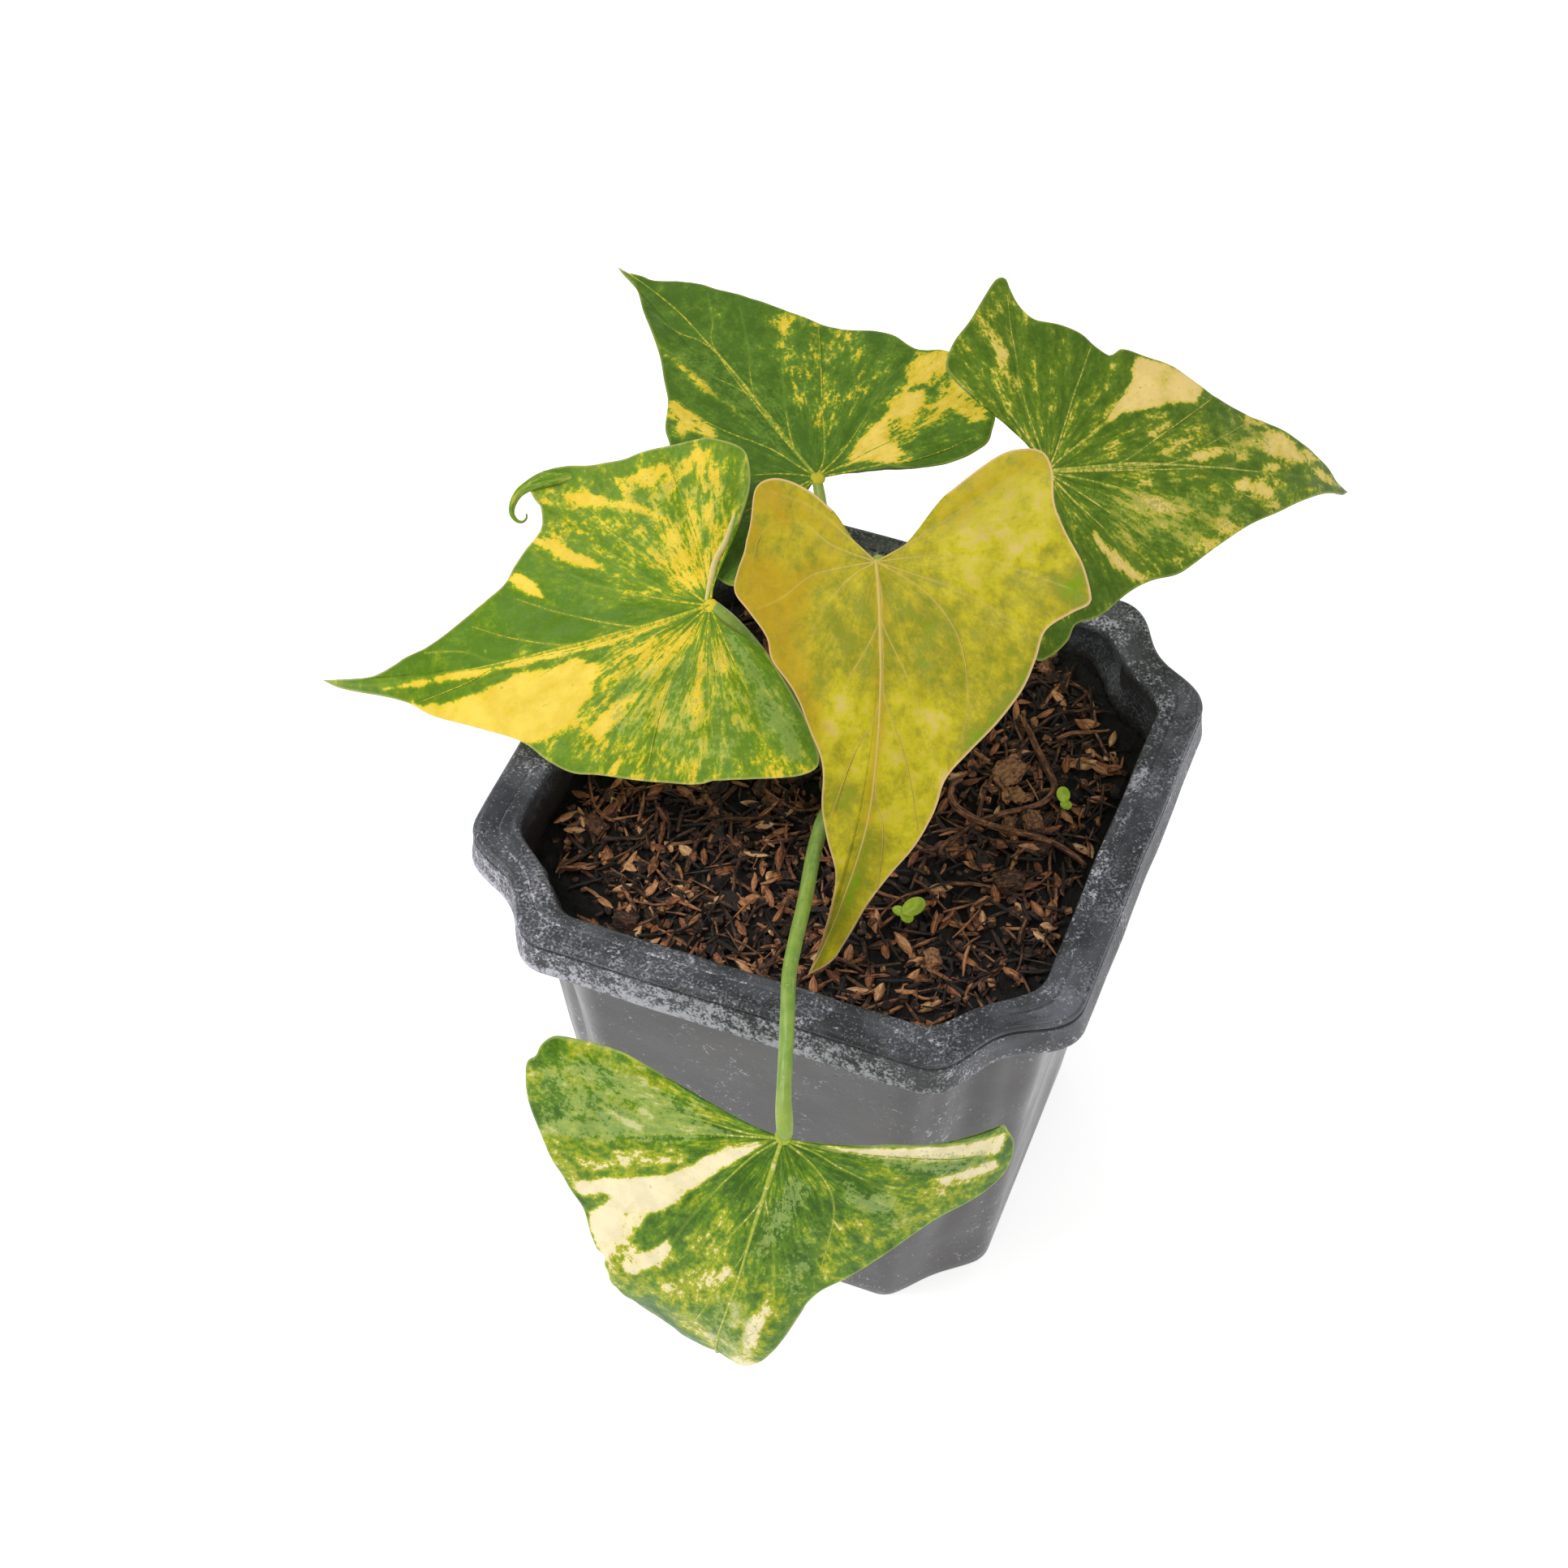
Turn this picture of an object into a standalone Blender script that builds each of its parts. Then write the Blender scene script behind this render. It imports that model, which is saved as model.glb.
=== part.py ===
"""Variegated anthurium with five leaves in a square nursery pot.

Lengths are in millimetres here and become metres where a mesh is made.
The origin is the middle of the pot's underside, +Z is up, -Y is the front.
"""

import bpy
import bmesh
import random
from math import atan2, cos, degrees, exp, hypot, pi, radians, sin, sqrt
from mathutils import Vector, Matrix, noise

MM = 0.001
GAP = 0.3
SHARP_ANGLE = 32

# Pot
RIM_TOP = 142.0
RIM_HALF = 75.0
SKIRT_HALF = 76.2
SKIRT_DEPTH = 10.9
INNER_HALF = 64.9
BODY_HALF_TOP = 68.5
BASE_HALF = 54.3
RIM_CUT = 124.7
SKIRT_CUT = 126.0
INNER_CUT = 109.5
BODY_CUT_TOP = 110.7
BASE_CUT = 88.2
GROOVE_HALF = 68.9
GROOVE_CUT = 117.1
GROOVE_DEPTH = 0.7
WALL = 1.5
FLOOR = 2.0
DRAIN_RADIUS = 5.0
DRAIN_OFFSET = 28.0

# Potting mix
SOIL_TOP = 126.0
SOIL_SLOPE = 0.035
SOIL_RELIEF = 1.6
HUSK_COUNT = 96
HUSK_LENGTH = 7.6
HUSK_WIDTH = 2.8
HUSK_DEPTH = 1.8
HUSK_SPACING = 6.2
CHIP_COUNT = 16

# Plant
CROWN_CENTRE = (2.0, 5.0)
CROWN_RADIUS = 9.0
CROWN_TOP = 137.0
CROWN_FOOT = 106.0
STALK_RADIUS = 1.75
STALK_FOOT_RADIUS = 2.2
BLADE_THICK = 0.8
BLADE_RINGS = (0.14, 0.32, 0.5, 0.68, 0.84, 1.0)
BLADE_COLUMNS = 15
SINUS_PULL = 0.2
STEM_RADIUS = 0.7
STEM_ROOT = 4.0
STEM_HEIGHT = 3.0
SEEDLING_CUP = 0.36
SEED = 11


class Leaf:
    """One leaf: where its blade is joined, how it lies, and its outline.

    heading is the way the midrib points in plan, dip how steeply it falls at
    the joint, and roll how far its left side is lifted, all in degrees.
    arch is the midrib's bend in degrees per 10 mm, and curl the extra bend
    past curl_from. left and right each hold a side's fold at the midrib, the
    distance where it starts to turn down, and its turn in degrees per 10 mm.
    sway bows the midrib to the left, and waves is the height of the margin's
    waves. An outline point is a bearing from the midrib, left of it first, and
    a reach from the joint. The stalk's route runs from the crown to the joint.
    """

    def __init__(self, name, joint, heading, dip, roll, arch, curl_from, curl,
                 left, right, sway, waves, outline, stalk, colour):
        self.name = name
        self.joint = Vector(joint)
        self.heading = heading
        self.dip = dip
        self.roll = roll
        self.sway = sway
        self.waves = waves
        self.outline = outline
        self.stalk = stalk
        self.colour = colour
        self.length = max(reach for bearing, reach in outline)
        self.widest = max(abs(bearing) for bearing, reach in outline)
        self.make_frame()
        self.rib = bent_line(160, lambda u: arch * u / 10 + curl * max(0.0, u - curl_from) / 10)
        self.left = bent_line(110, lambda v: side_angle(v, *left))
        self.right = bent_line(110, lambda v: side_angle(v, *right))

    def make_frame(self):
        h = radians(self.heading)
        p = radians(self.dip)
        r = radians(self.roll)
        self.along = Vector((cos(h) * cos(p), sin(h) * cos(p), -sin(p)))
        level = Vector((-sin(h), cos(h), 0.0))
        up = self.along.cross(level)
        self.side = level * cos(r) + up * sin(r)
        self.up = up * cos(r) - level * sin(r)

    def place(self, u, v, lift=0.0):
        """The point of the blade's upper face at flat coordinates u, v."""
        t = min(max(u / self.length, 0.0), 1.0)
        v = v + self.sway * 4 * t * (1 - t)
        if u >= 0:
            x, z, a = read_line(self.rib, u)
        else:
            x, z, a = u, 0.0, 0.0
        y, h, b = read_line(self.left if v >= 0 else self.right, abs(v))
        if v < 0:
            y = -y
        h = -h + lift
        return (self.joint + self.along * (x + h * sin(a))
                + self.side * y + self.up * (-z + h * cos(a)))

    def edge(self, columns):
        """Points of the outline in flat coordinates, the left side first."""
        tip = [reach for bearing, reach in self.outline].index(self.length)
        halves = []
        for part in (self.outline[:tip + 1], self.outline[tip:]):
            smooth = smooth_through([(b, r, 0.0) for b, r in part], 8)
            flat = [Vector((p.y * cos(radians(p.x)), p.y * sin(radians(p.x)), 0.0)) for p in smooth]
            halves.append(even_spacing(flat, columns))
        return halves[0] + halves[1][1:]

    def sheet_point(self, edge_point, share, phase):
        """The upper face's point at a share of the way out to an edge point."""
        reach = edge_point.length * share
        bearing = atan2(edge_point.y, edge_point.x)
        pull = 1 - SINUS_PULL * (1 - share) ** 2 * (degrees(bearing) / self.widest) ** 2
        wave = sin(5 * phase + self.heading) + 0.6 * sin(9 * phase + self.dip)
        lift = 0.7 * self.waves * share ** 3 * wave
        return self.place(reach * cos(bearing * pull), reach * sin(bearing * pull), lift)


def bent_line(length, degrees_at):
    """Distance along, fall and angle at each millimetre of a bent line."""
    along, fall = 0.0, 0.0
    line = [(along, fall, radians(degrees_at(0.0)))]
    for i in range(length):
        angle = radians(degrees_at(i + 0.5))
        along += cos(angle)
        fall += sin(angle)
        line.append((along, fall, radians(degrees_at(i + 1.0))))
    return line


def read_line(line, d):
    i = min(int(d), len(line) - 2)
    return tuple(p + (q - p) * (d - i) for p, q in zip(line[i], line[i + 1]))


def side_angle(v, fold, start, turn):
    return fold * (1 - exp(-v / 6.0)) + turn * max(0.0, v - start) / 10


def smooth_through(points, steps):
    """A smooth curve through points, with even steps between them."""
    pts = [Vector(p) for p in points]
    pts = [pts[0] * 2 - pts[1]] + pts + [pts[-1] * 2 - pts[-2]]
    out = []
    for i in range(1, len(pts) - 2):
        a, b, c, d = pts[i - 1:i + 3]
        for k in range(steps):
            t = k / steps
            out.append(0.5 * ((2 * b) + (c - a) * t + (2 * a - 5 * b + 4 * c - d) * t * t
                              + (3 * b - a - 3 * c + d) * t ** 3))
    out.append(pts[-2])
    return out


def even_spacing(points, count):
    """count + 1 points at equal distances along a line of points."""
    far = [0.0]
    for p, q in zip(points, points[1:]):
        far.append(far[-1] + (q - p).length)
    out = []
    i = 0
    for k in range(count + 1):
        d = far[-1] * k / count
        while i < len(far) - 2 and far[i + 1] < d:
            i += 1
        f = (d - far[i]) / max(far[i + 1] - far[i], 1e-9)
        out.append(points[i].lerp(points[i + 1], min(f, 1.0)))
    return out


LEAVES = [
    Leaf(name="left", joint=(-37, 8, 175), heading=199, dip=6, roll=-22, arch=3.0, curl_from=60,
         curl=3.0, left=(10, 60, 0), right=(-8, 60, 0), sway=9, waves=1.0,
         outline=[(138, 16), (133, 28), (126, 40), (121, 46), (110, 45), (96, 43), (82, 41), (64, 42),
                  (48, 44), (36, 47), (26, 50), (19, 57), (13, 65), (7, 77), (3, 90), (0, 113),
                  (-1, 95), (-3, 80), (-7, 68), (-14, 60), (-21, 54), (-29, 50), (-36, 49), (-43, 49),
                  (-50, 50), (-58, 51), (-66, 47), (-74, 43), (-85, 41), (-96, 40), (-105, 37),
                  (-110, 30), (-111, 20)],
         stalk=[(-4.5, 5, 132), (-14, 6, 150), (-27, 8, 166), (-35.3, 8.5, 172.8)],
         colour=(0.20, 0.38, 0.06)),
    Leaf(name="back_left", joint=(-27, 53, 179), heading=140, dip=-2, roll=-6, arch=1.0, curl_from=70,
         curl=1.0, left=(-4, 60, 0), right=(-4, 60, 0), sway=2, waves=1.0,
         outline=[(133, 16), (132, 27), (126, 36), (119, 39), (110, 38), (100, 36), (82, 33), (58, 34),
                  (38, 38), (29, 42), (19, 47), (12, 55), (8, 62), (6, 70), (4, 80), (3, 99),
                  (-2, 84), (-7, 79), (-10, 73), (-14, 67), (-20, 60), (-27, 56), (-34, 52), (-41, 50),
                  (-50, 49), (-57, 48), (-65, 48), (-72, 50), (-80, 51), (-90, 49), (-100, 47),
                  (-108, 43), (-112, 38), (-116, 31), (-117, 22), (-111, 16)],
         stalk=[(-1, 10.5, 132), (-9, 24, 152), (-20, 42, 169), (-26.2, 51.8, 177.2)],
         colour=(0.14, 0.31, 0.06)),
    Leaf(name="right", joint=(29, 57, 197), heading=37, dip=10, roll=26, arch=3.0, curl_from=70,
         curl=5.0, left=(8, 60, 0), right=(14, 60, 0), sway=-1, waves=1.0,
         outline=[(122, 32), (116, 38), (106, 42), (97, 48), (91, 53), (88, 57), (84, 52), (78, 43),
                  (70, 42), (60, 41), (51, 42), (45, 46), (36, 50), (27, 54), (18, 61), (11, 70), (5, 81),
                  (0, 97),
                  (-5, 76), (-9, 66), (-14, 57), (-22, 49), (-31, 44), (-42, 38), (-55, 34), (-68, 35),
                  (-80, 36), (-88, 39), (-96, 43), (-103, 44), (-109, 38), (-114, 26), (-116, 15)],
         stalk=[(5.5, 10.5, 132), (12, 25, 161), (22, 45, 185), (27.8, 55.7, 194.4)],
         colour=(0.14, 0.31, 0.06)),
    Leaf(name="young", joint=(3, 11, 202), heading=-84, dip=40, roll=4, arch=2.0, curl_from=80,
         curl=2.0, left=(-4, 60, 0), right=(24, 60, 0), sway=7, waves=1.0,
         outline=[(147, 20), (144, 36), (138, 43), (126, 45), (114, 43), (104, 46), (94, 50), (87, 46),
                  (80, 41), (72, 39), (62, 40), (50, 42), (38, 44), (28, 46), (21, 50), (17, 57),
                  (12, 66), (8, 74), (4, 84), (0, 98),
                  (-2, 78), (-6, 66), (-11, 55), (-17, 47), (-26, 43), (-36, 41), (-47, 40), (-58, 38),
                  (-66, 40), (-74, 44), (-82, 42), (-91, 38), (-102, 39), (-109, 40), (-116, 34),
                  (-120, 24)],
         stalk=[(7.5, 4, 132), (9, 8, 156), (6.5, 13, 182), (3.4, 13, 199.2)],
         colour=(0.42, 0.36, 0.08)),
    Leaf(name="front", joint=(26, -108, 147), heading=-106, dip=60, roll=-15, arch=3.0, curl_from=50,
         curl=10.0, left=(24, 8, 8), right=(8, 60, 0), sway=0, waves=1.5,
         outline=[(84, 10), (86, 22), (88, 34), (89, 48), (92, 54), (88, 57), (80, 59), (70, 57),
                  (60, 54), (48, 50), (38, 49), (29, 50), (21, 56), (13, 66), (6, 80), (0, 94),
                  (-5, 90), (-11, 83), (-18, 75), (-25, 69), (-33, 64), (-42, 62), (-52, 62), (-62, 63),
                  (-72, 63), (-79, 61), (-84, 59), (-87, 51), (-86, 40), (-83, 30), (-78, 20), (-72, 10)],
         stalk=[(2.5, -0.5, 132), (1.9, -13, 138), (3.3, -28, 144), (7.8, -49, 152), (14, -72, 158),
                  (18, -84, 159), (21, -93, 156), (24, -102, 152), (26, -106.5, 148.4)],
         colour=(0.22, 0.40, 0.10)),
]

# The left leaf's upper margin ends in a curled horn.
HORN = [(25, -41), (30, -43), (34, -43.8), (38, -44), (42, -43.4), (45, -41.8), (47, -39.2),
        (47.3, -36), (46, -33.6), (44, -33)]
HORN_RADII = (2.0, 1.6, 1.4, 1.2, 1.1, 0.9, 0.7)

SEEDLINGS = [("seedling_front", (26.0, -28.5), 9.0), ("seedling_side", (50.0, 16.0), 7.0)]


def clear_scene():
    for ob in list(bpy.data.objects):
        bpy.data.objects.remove(ob, do_unlink=True)


def collection(name):
    c = bpy.data.collections.new(name)
    bpy.context.scene.collection.children.link(c)
    return c


def material(name, colour, roughness, metallic=0.0):
    m = bpy.data.materials.new(name)
    m.use_nodes = True
    shader = m.node_tree.nodes["Principled BSDF"]
    shader.inputs["Base Color"].default_value = (colour[0], colour[1], colour[2], 1.0)
    shader.inputs["Roughness"].default_value = roughness
    shader.inputs["Metallic"].default_value = metallic
    m.diffuse_color = (colour[0], colour[1], colour[2], 1.0)
    return m


def mesh_object(name, points, faces, mat, where):
    """An object from points in millimetres, set at its own middle."""
    low = [min(p[k] for p in points) for k in range(3)]
    high = [max(p[k] for p in points) for k in range(3)]
    mid = Vector([(a + b) / 2 for a, b in zip(low, high)])
    mesh = bpy.data.meshes.new(name)
    mesh.from_pydata([(Vector(p) - mid) * MM for p in points], [], faces)
    mesh.shade_smooth()
    mesh.set_sharp_from_angle(angle=radians(SHARP_ANGLE))
    if mat:
        mesh.materials.append(mat)
    ob = bpy.data.objects.new(name, mesh)
    ob.location = mid * MM
    where.objects.link(ob)
    return ob


def apply_modifiers(ob):
    deps = bpy.context.evaluated_depsgraph_get()
    deps.update()
    mesh = bpy.data.meshes.new_from_object(ob.evaluated_get(deps))
    ob.modifiers.clear()
    old = ob.data
    ob.data = mesh
    mesh.name = ob.name
    if old.users == 0:
        bpy.data.meshes.remove(old)


def join_collection(ob, group, solver="EXACT"):
    """Unite ob with every object of a collection, then remove them."""
    mod = ob.modifiers.new("join", "BOOLEAN")
    mod.operation = "UNION"
    mod.operand_type = "COLLECTION"
    mod.collection = group
    mod.solver = solver
    apply_modifiers(ob)
    for other in list(group.objects):
        bpy.data.objects.remove(other, do_unlink=True)
    bpy.data.collections.remove(group)


def drop_scraps(ob):
    """Keep only the largest connected body of a mesh."""
    bm = bmesh.new()
    bm.from_mesh(ob.data)
    left = set(bm.verts)
    bodies = []
    while left:
        stack = [left.pop()]
        body = set(stack)
        while stack:
            for e in stack.pop().link_edges:
                for v in e.verts:
                    if v in left:
                        left.remove(v)
                        body.add(v)
                        stack.append(v)
        bodies.append(body)
    bodies.sort(key=len)
    for body in bodies[:-1]:
        bmesh.ops.delete(bm, geom=list(body), context="VERTS")
    bm.to_mesh(ob.data)
    bm.free()


def cut_with(ob, cutter, solver="EXACT"):
    mod = ob.modifiers.new("cut " + cutter.name, "BOOLEAN")
    mod.operation = "DIFFERENCE"
    mod.object = cutter
    mod.solver = solver


def plan_ring(half, cut, dip, z, rounding=8.0):
    """A square with cut corners, seen in plan, as points at height z."""
    r = min(rounding, half * 0.12)
    cx = half - r
    cy = cut - r * sqrt(2) - half + r
    quarter = []
    for k in range(4):
        a = radians(15 * k)
        quarter.append((cx + r * cos(a), cy + r * sin(a)))
    for f in (0.25, 0.5, 0.75):
        a = quarter[3]
        b = (quarter[3][1], quarter[3][0])
        sink = dip * sin(pi * f) / 2
        quarter.append((a[0] + (b[0] - a[0]) * f - sink, a[1] + (b[1] - a[1]) * f - sink))
    for k in range(3, 7):
        a = radians(15 * k)
        quarter.append((cy + r * cos(a), cx + r * sin(a)))
    ring = []
    for turn in range(4):
        c, s = ((1, 0), (0, 1), (-1, 0), (0, -1))[turn]
        ring += [(x * c - y * s, x * s + y * c, z) for x, y in quarter]
    return ring


def loft(rings, close_first=True, close_last=True):
    n = len(rings[0])
    points = [p for ring in rings for p in ring]
    faces = []
    for i in range(len(rings) - 1):
        for j in range(n):
            k = (j + 1) % n
            a, b = i * n + j, i * n + k
            faces.append((a, b, b + n, a + n))
    if close_first:
        faces.append(tuple(reversed(range(n))))
    if close_last:
        last = (len(rings) - 1) * n
        faces.append(tuple(last + j for j in range(n)))
    return points, faces


def inner_half(z):
    t = z / (RIM_TOP - SKIRT_DEPTH)
    return BASE_HALF * (1 - t) + BODY_HALF_TOP * t - WALL


def inner_cut(z):
    t = z / (RIM_TOP - SKIRT_DEPTH)
    return BASE_CUT * (1 - t) + BODY_CUT_TOP * t - WALL * 1.45


def inner_dip(z):
    return 0.5 + 1.1 * (z - FLOOR) / (RIM_TOP - 5.0 - FLOOR)


def make_pot(where, cutters):
    """A thin moulded wall with a turned-down rim, as one closed loft."""
    low = RIM_TOP - SKIRT_DEPTH
    profile = [
        (BASE_HALF - 1.0, BASE_CUT - 1.4, 0.5, 0.0),
        (BASE_HALF, BASE_CUT, 0.5, 1.0),
        (BODY_HALF_TOP, BODY_CUT_TOP, 1.5, low),
        (BODY_HALF_TOP + 0.9, BODY_CUT_TOP + 1.3, 1.5, RIM_TOP - 2.4),
        (RIM_HALF - 1.6, RIM_CUT - 2.3, 1.5, RIM_TOP - 2.4),
        (SKIRT_HALF - 1.5, SKIRT_CUT - 2.2, 2.0, low),
        (SKIRT_HALF, SKIRT_CUT, 2.0, low),
        (SKIRT_HALF, SKIRT_CUT, 2.0, low + 0.8),
        (RIM_HALF + 0.2, RIM_CUT + 0.2, 1.5, RIM_TOP - 2.6),
        (RIM_HALF - 0.5, RIM_CUT - 0.7, 1.5, RIM_TOP - 2.2),
        (RIM_HALF, RIM_CUT, 1.5, RIM_TOP - 1.4),
        (RIM_HALF - 0.6, RIM_CUT - 0.8, 1.5, RIM_TOP - 0.2),
        (RIM_HALF - 1.6, RIM_CUT - 2.2, 1.5, RIM_TOP),
        (GROOVE_HALF + 0.7, GROOVE_CUT + 1.1, 0.6, RIM_TOP - 0.1),
        (GROOVE_HALF, GROOVE_CUT, 0.5, RIM_TOP - GROOVE_DEPTH),
        (GROOVE_HALF - 0.7, GROOVE_CUT - 0.9, 0.5, RIM_TOP - 0.2),
        (INNER_HALF + 0.5, INNER_CUT + 0.7, 1.6, RIM_TOP - 0.9),
        (INNER_HALF, INNER_CUT, 1.7, RIM_TOP - 1.5),
        (INNER_HALF + 0.1, INNER_CUT, 1.7, RIM_TOP - 3.0),
        (inner_half(RIM_TOP - 5.0), inner_cut(RIM_TOP - 5.0), 1.6, RIM_TOP - 5.0),
        (inner_half(FLOOR), inner_cut(FLOOR), 0.5, FLOOR),
    ]
    points, faces = loft([plan_ring(*row) for row in profile])
    mat = material("dark_grey_plastic", (0.085, 0.085, 0.09), 0.42)
    pot = mesh_object("pot", points, faces, mat, where)
    n = 0
    for sx in (-1, 1):
        for sy in (-1, 1):
            n += 1
            bpy.ops.mesh.primitive_cylinder_add(
                vertices=24, radius=DRAIN_RADIUS * MM, depth=8 * MM,
                location=(sx * DRAIN_OFFSET * MM, sy * DRAIN_OFFSET * MM, 1 * MM))
            hole = bpy.context.active_object
            hole.name = "drain_%d" % n
            hide_cutter(hole, cutters)
            cut_with(pot, hole)
    return pot


def hide_cutter(ob, cutters):
    for c in list(ob.users_collection):
        c.objects.unlink(ob)
    cutters.objects.link(ob)
    ob.display_type = "WIRE"
    ob.hide_render = True


def soil_height(x, y):
    p = Vector((x, y, 0.0))
    h = noise.noise(p / 22.0) * 1.2 + noise.noise(p / 8.0 + Vector((7, 3, 1))) * 0.6
    away = hypot(x - CROWN_CENTRE[0], y - CROWN_CENTRE[1])
    mound = 2.0 * exp(-(away / 16.0) ** 2)
    return SOIL_TOP + SOIL_SLOPE * (x + y) + SOIL_RELIEF * h + mound


def husk_mesh(name, long, wide, deep):
    """A grain husk: a low round solid, pointed at both ends."""
    bm = bmesh.new()
    bmesh.ops.create_icosphere(bm, subdivisions=1, radius=0.5)
    bm.transform(Matrix.Diagonal((long * MM, wide * MM, deep * MM, 1)) @ Matrix.Rotation(pi / 2, 4, "Y"))
    mesh = bpy.data.meshes.new(name)
    bm.to_mesh(mesh)
    bm.free()
    return mesh


def chip_mesh(name, size, rng):
    """A crumb of bark: a flat block with its corners moved about."""
    bm = bmesh.new()
    bmesh.ops.create_cube(bm, size=size * MM)
    for v in bm.verts:
        stretch = (rng.uniform(0.7, 1.2), rng.uniform(0.5, 0.9), rng.uniform(0.36, 0.6))
        v.co = v.co * Vector(stretch)
    bmesh.ops.triangulate(bm, faces=bm.faces)
    mesh = bpy.data.meshes.new(name)
    bm.to_mesh(mesh)
    bm.free()
    return mesh


def scatter_spots(rng):
    """Seeded places for the husks and crumbs, clear of stems and each other."""
    spots = []
    reach = BASE_HALF + 4
    while len(spots) < HUSK_COUNT + CHIP_COUNT:
        x = rng.uniform(-reach, reach)
        y = rng.uniform(-reach, reach)
        if abs(x) + abs(y) > BODY_CUT_TOP - 13:
            continue
        if hypot(x - CROWN_CENTRE[0], y - CROWN_CENTRE[1]) < CROWN_RADIUS + 6:
            continue
        if any(hypot(x - a, y - b) < 6 for name, (a, b), size in SEEDLINGS):
            continue
        if all(hypot(x - a, y - b) > HUSK_SPACING for a, b in spots):
            spots.append((x, y))
    return spots


def make_potting_mix(where, cutters):
    """The filling: a block of the pot's inner shape with husks on its top."""
    n = len(plan_ring(50, 90, 0, 0))
    side = []
    low = FLOOR + GAP
    for z in (low, SOIL_TOP - 6.0):
        side.append(plan_ring(inner_half(z) - GAP, inner_cut(z) - GAP * 1.5, inner_dip(z), z))
    edge = plan_ring(inner_half(SOIL_TOP) - GAP - 0.2, inner_cut(SOIL_TOP) - GAP * 1.5 - 0.3,
                     inner_dip(SOIL_TOP), SOIL_TOP)
    rings = side[:]
    shrink = (1.0, 0.93, 0.85, 0.76, 0.66, 0.56, 0.45, 0.34, 0.22, 0.1)
    for s in shrink:
        rings.append([(x * s, y * s, soil_height(x * s, y * s)) for x, y, z in edge])
    points, faces = loft(rings, close_last=False)
    points.append((0.0, 0.0, soil_height(0, 0)))
    last = (len(rings) - 1) * n
    for j in range(n):
        faces.append((last + j, last + (j + 1) % n, len(points) - 1))
    mat = material("potting_mix", (0.045, 0.026, 0.016), 0.9)
    mix = mesh_object("potting_mix", points, faces, mat, where)
    rng = random.Random(SEED)
    husks = collection("husks")
    for k, (x, y) in enumerate(scatter_spots(rng)):
        if k < HUSK_COUNT:
            size = rng.uniform(0.85, 1.15)
            mesh = husk_mesh("husk", HUSK_LENGTH * size, HUSK_WIDTH * size, HUSK_DEPTH * size)
        else:
            mesh = chip_mesh("chip", rng.uniform(5.0, 8.0), rng)
        mesh.materials.append(mat)
        scrap = bpy.data.objects.new(mesh.name, mesh)
        scrap.location = (x * MM, y * MM, soil_height(x, y) * MM)
        tilt = radians(rng.uniform(-15, 15))
        scrap.rotation_euler = (radians(rng.uniform(-35, 35)), tilt, rng.uniform(0, pi))
        husks.objects.link(scrap)
    join_collection(mix, husks, "MANIFOLD")
    drop_scraps(mix)
    bpy.ops.mesh.primitive_cylinder_add(
        vertices=32, radius=(CROWN_RADIUS + GAP) * MM, depth=60 * MM,
        location=(CROWN_CENTRE[0] * MM, CROWN_CENTRE[1] * MM, (CROWN_FOOT - GAP + 30) * MM))
    hole = bpy.context.active_object
    hole.name = "crown_hole"
    hide_cutter(hole, cutters)
    cut_with(mix, hole, "MANIFOLD")
    for name, (x, y), size in SEEDLINGS:
        foot = soil_height(x, y) - STEM_ROOT - GAP
        bpy.ops.mesh.primitive_cylinder_add(
            vertices=12, radius=(STEM_RADIUS + GAP) * MM, depth=20 * MM,
            location=(x * MM, y * MM, (foot + 10) * MM))
        hole = bpy.context.active_object
        hole.name = name + "_hole"
        hide_cutter(hole, cutters)
        cut_with(mix, hole, "MANIFOLD")
    return mix


def tube(name, route, radii, mat, where, steps=3, sides=3):
    """A round stem along a smooth route, thinner towards its end."""
    pts = smooth_through(route, steps)
    curve = bpy.data.curves.new(name, "CURVE")
    curve.dimensions = "3D"
    curve.bevel_depth = MM
    curve.bevel_resolution = sides
    curve.use_fill_caps = True
    curve.resolution_u = 1
    spline = curve.splines.new("POLY")
    spline.points.add(len(pts) - 1)
    for i, p in enumerate(pts):
        t = i / (len(pts) - 1)
        spline.points[i].co = (p.x * MM, p.y * MM, p.z * MM, 1.0)
        spline.points[i].radius = read_radius(radii, t)
    ob = bpy.data.objects.new(name, curve)
    where.objects.link(ob)
    deps = bpy.context.evaluated_depsgraph_get()
    mesh = bpy.data.meshes.new_from_object(ob.evaluated_get(deps))
    bpy.data.objects.remove(ob, do_unlink=True)
    bpy.data.curves.remove(curve)
    bm = bmesh.new()
    bm.from_mesh(mesh)
    bmesh.ops.remove_doubles(bm, verts=bm.verts, dist=1e-6)
    bmesh.ops.recalc_face_normals(bm, faces=bm.faces)
    bm.to_mesh(mesh)
    bm.free()
    mesh.name = name
    mesh.polygons.foreach_set("use_smooth", [len(p.vertices) < 5 for p in mesh.polygons])
    if mat:
        mesh.materials.append(mat)
    ob = bpy.data.objects.new(name, mesh)
    where.objects.link(ob)
    return ob


def read_radius(radii, t):
    x = t * (len(radii) - 1)
    i = min(int(x), len(radii) - 2)
    return radii[i] + (radii[i + 1] - radii[i]) * (x - i)


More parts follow.
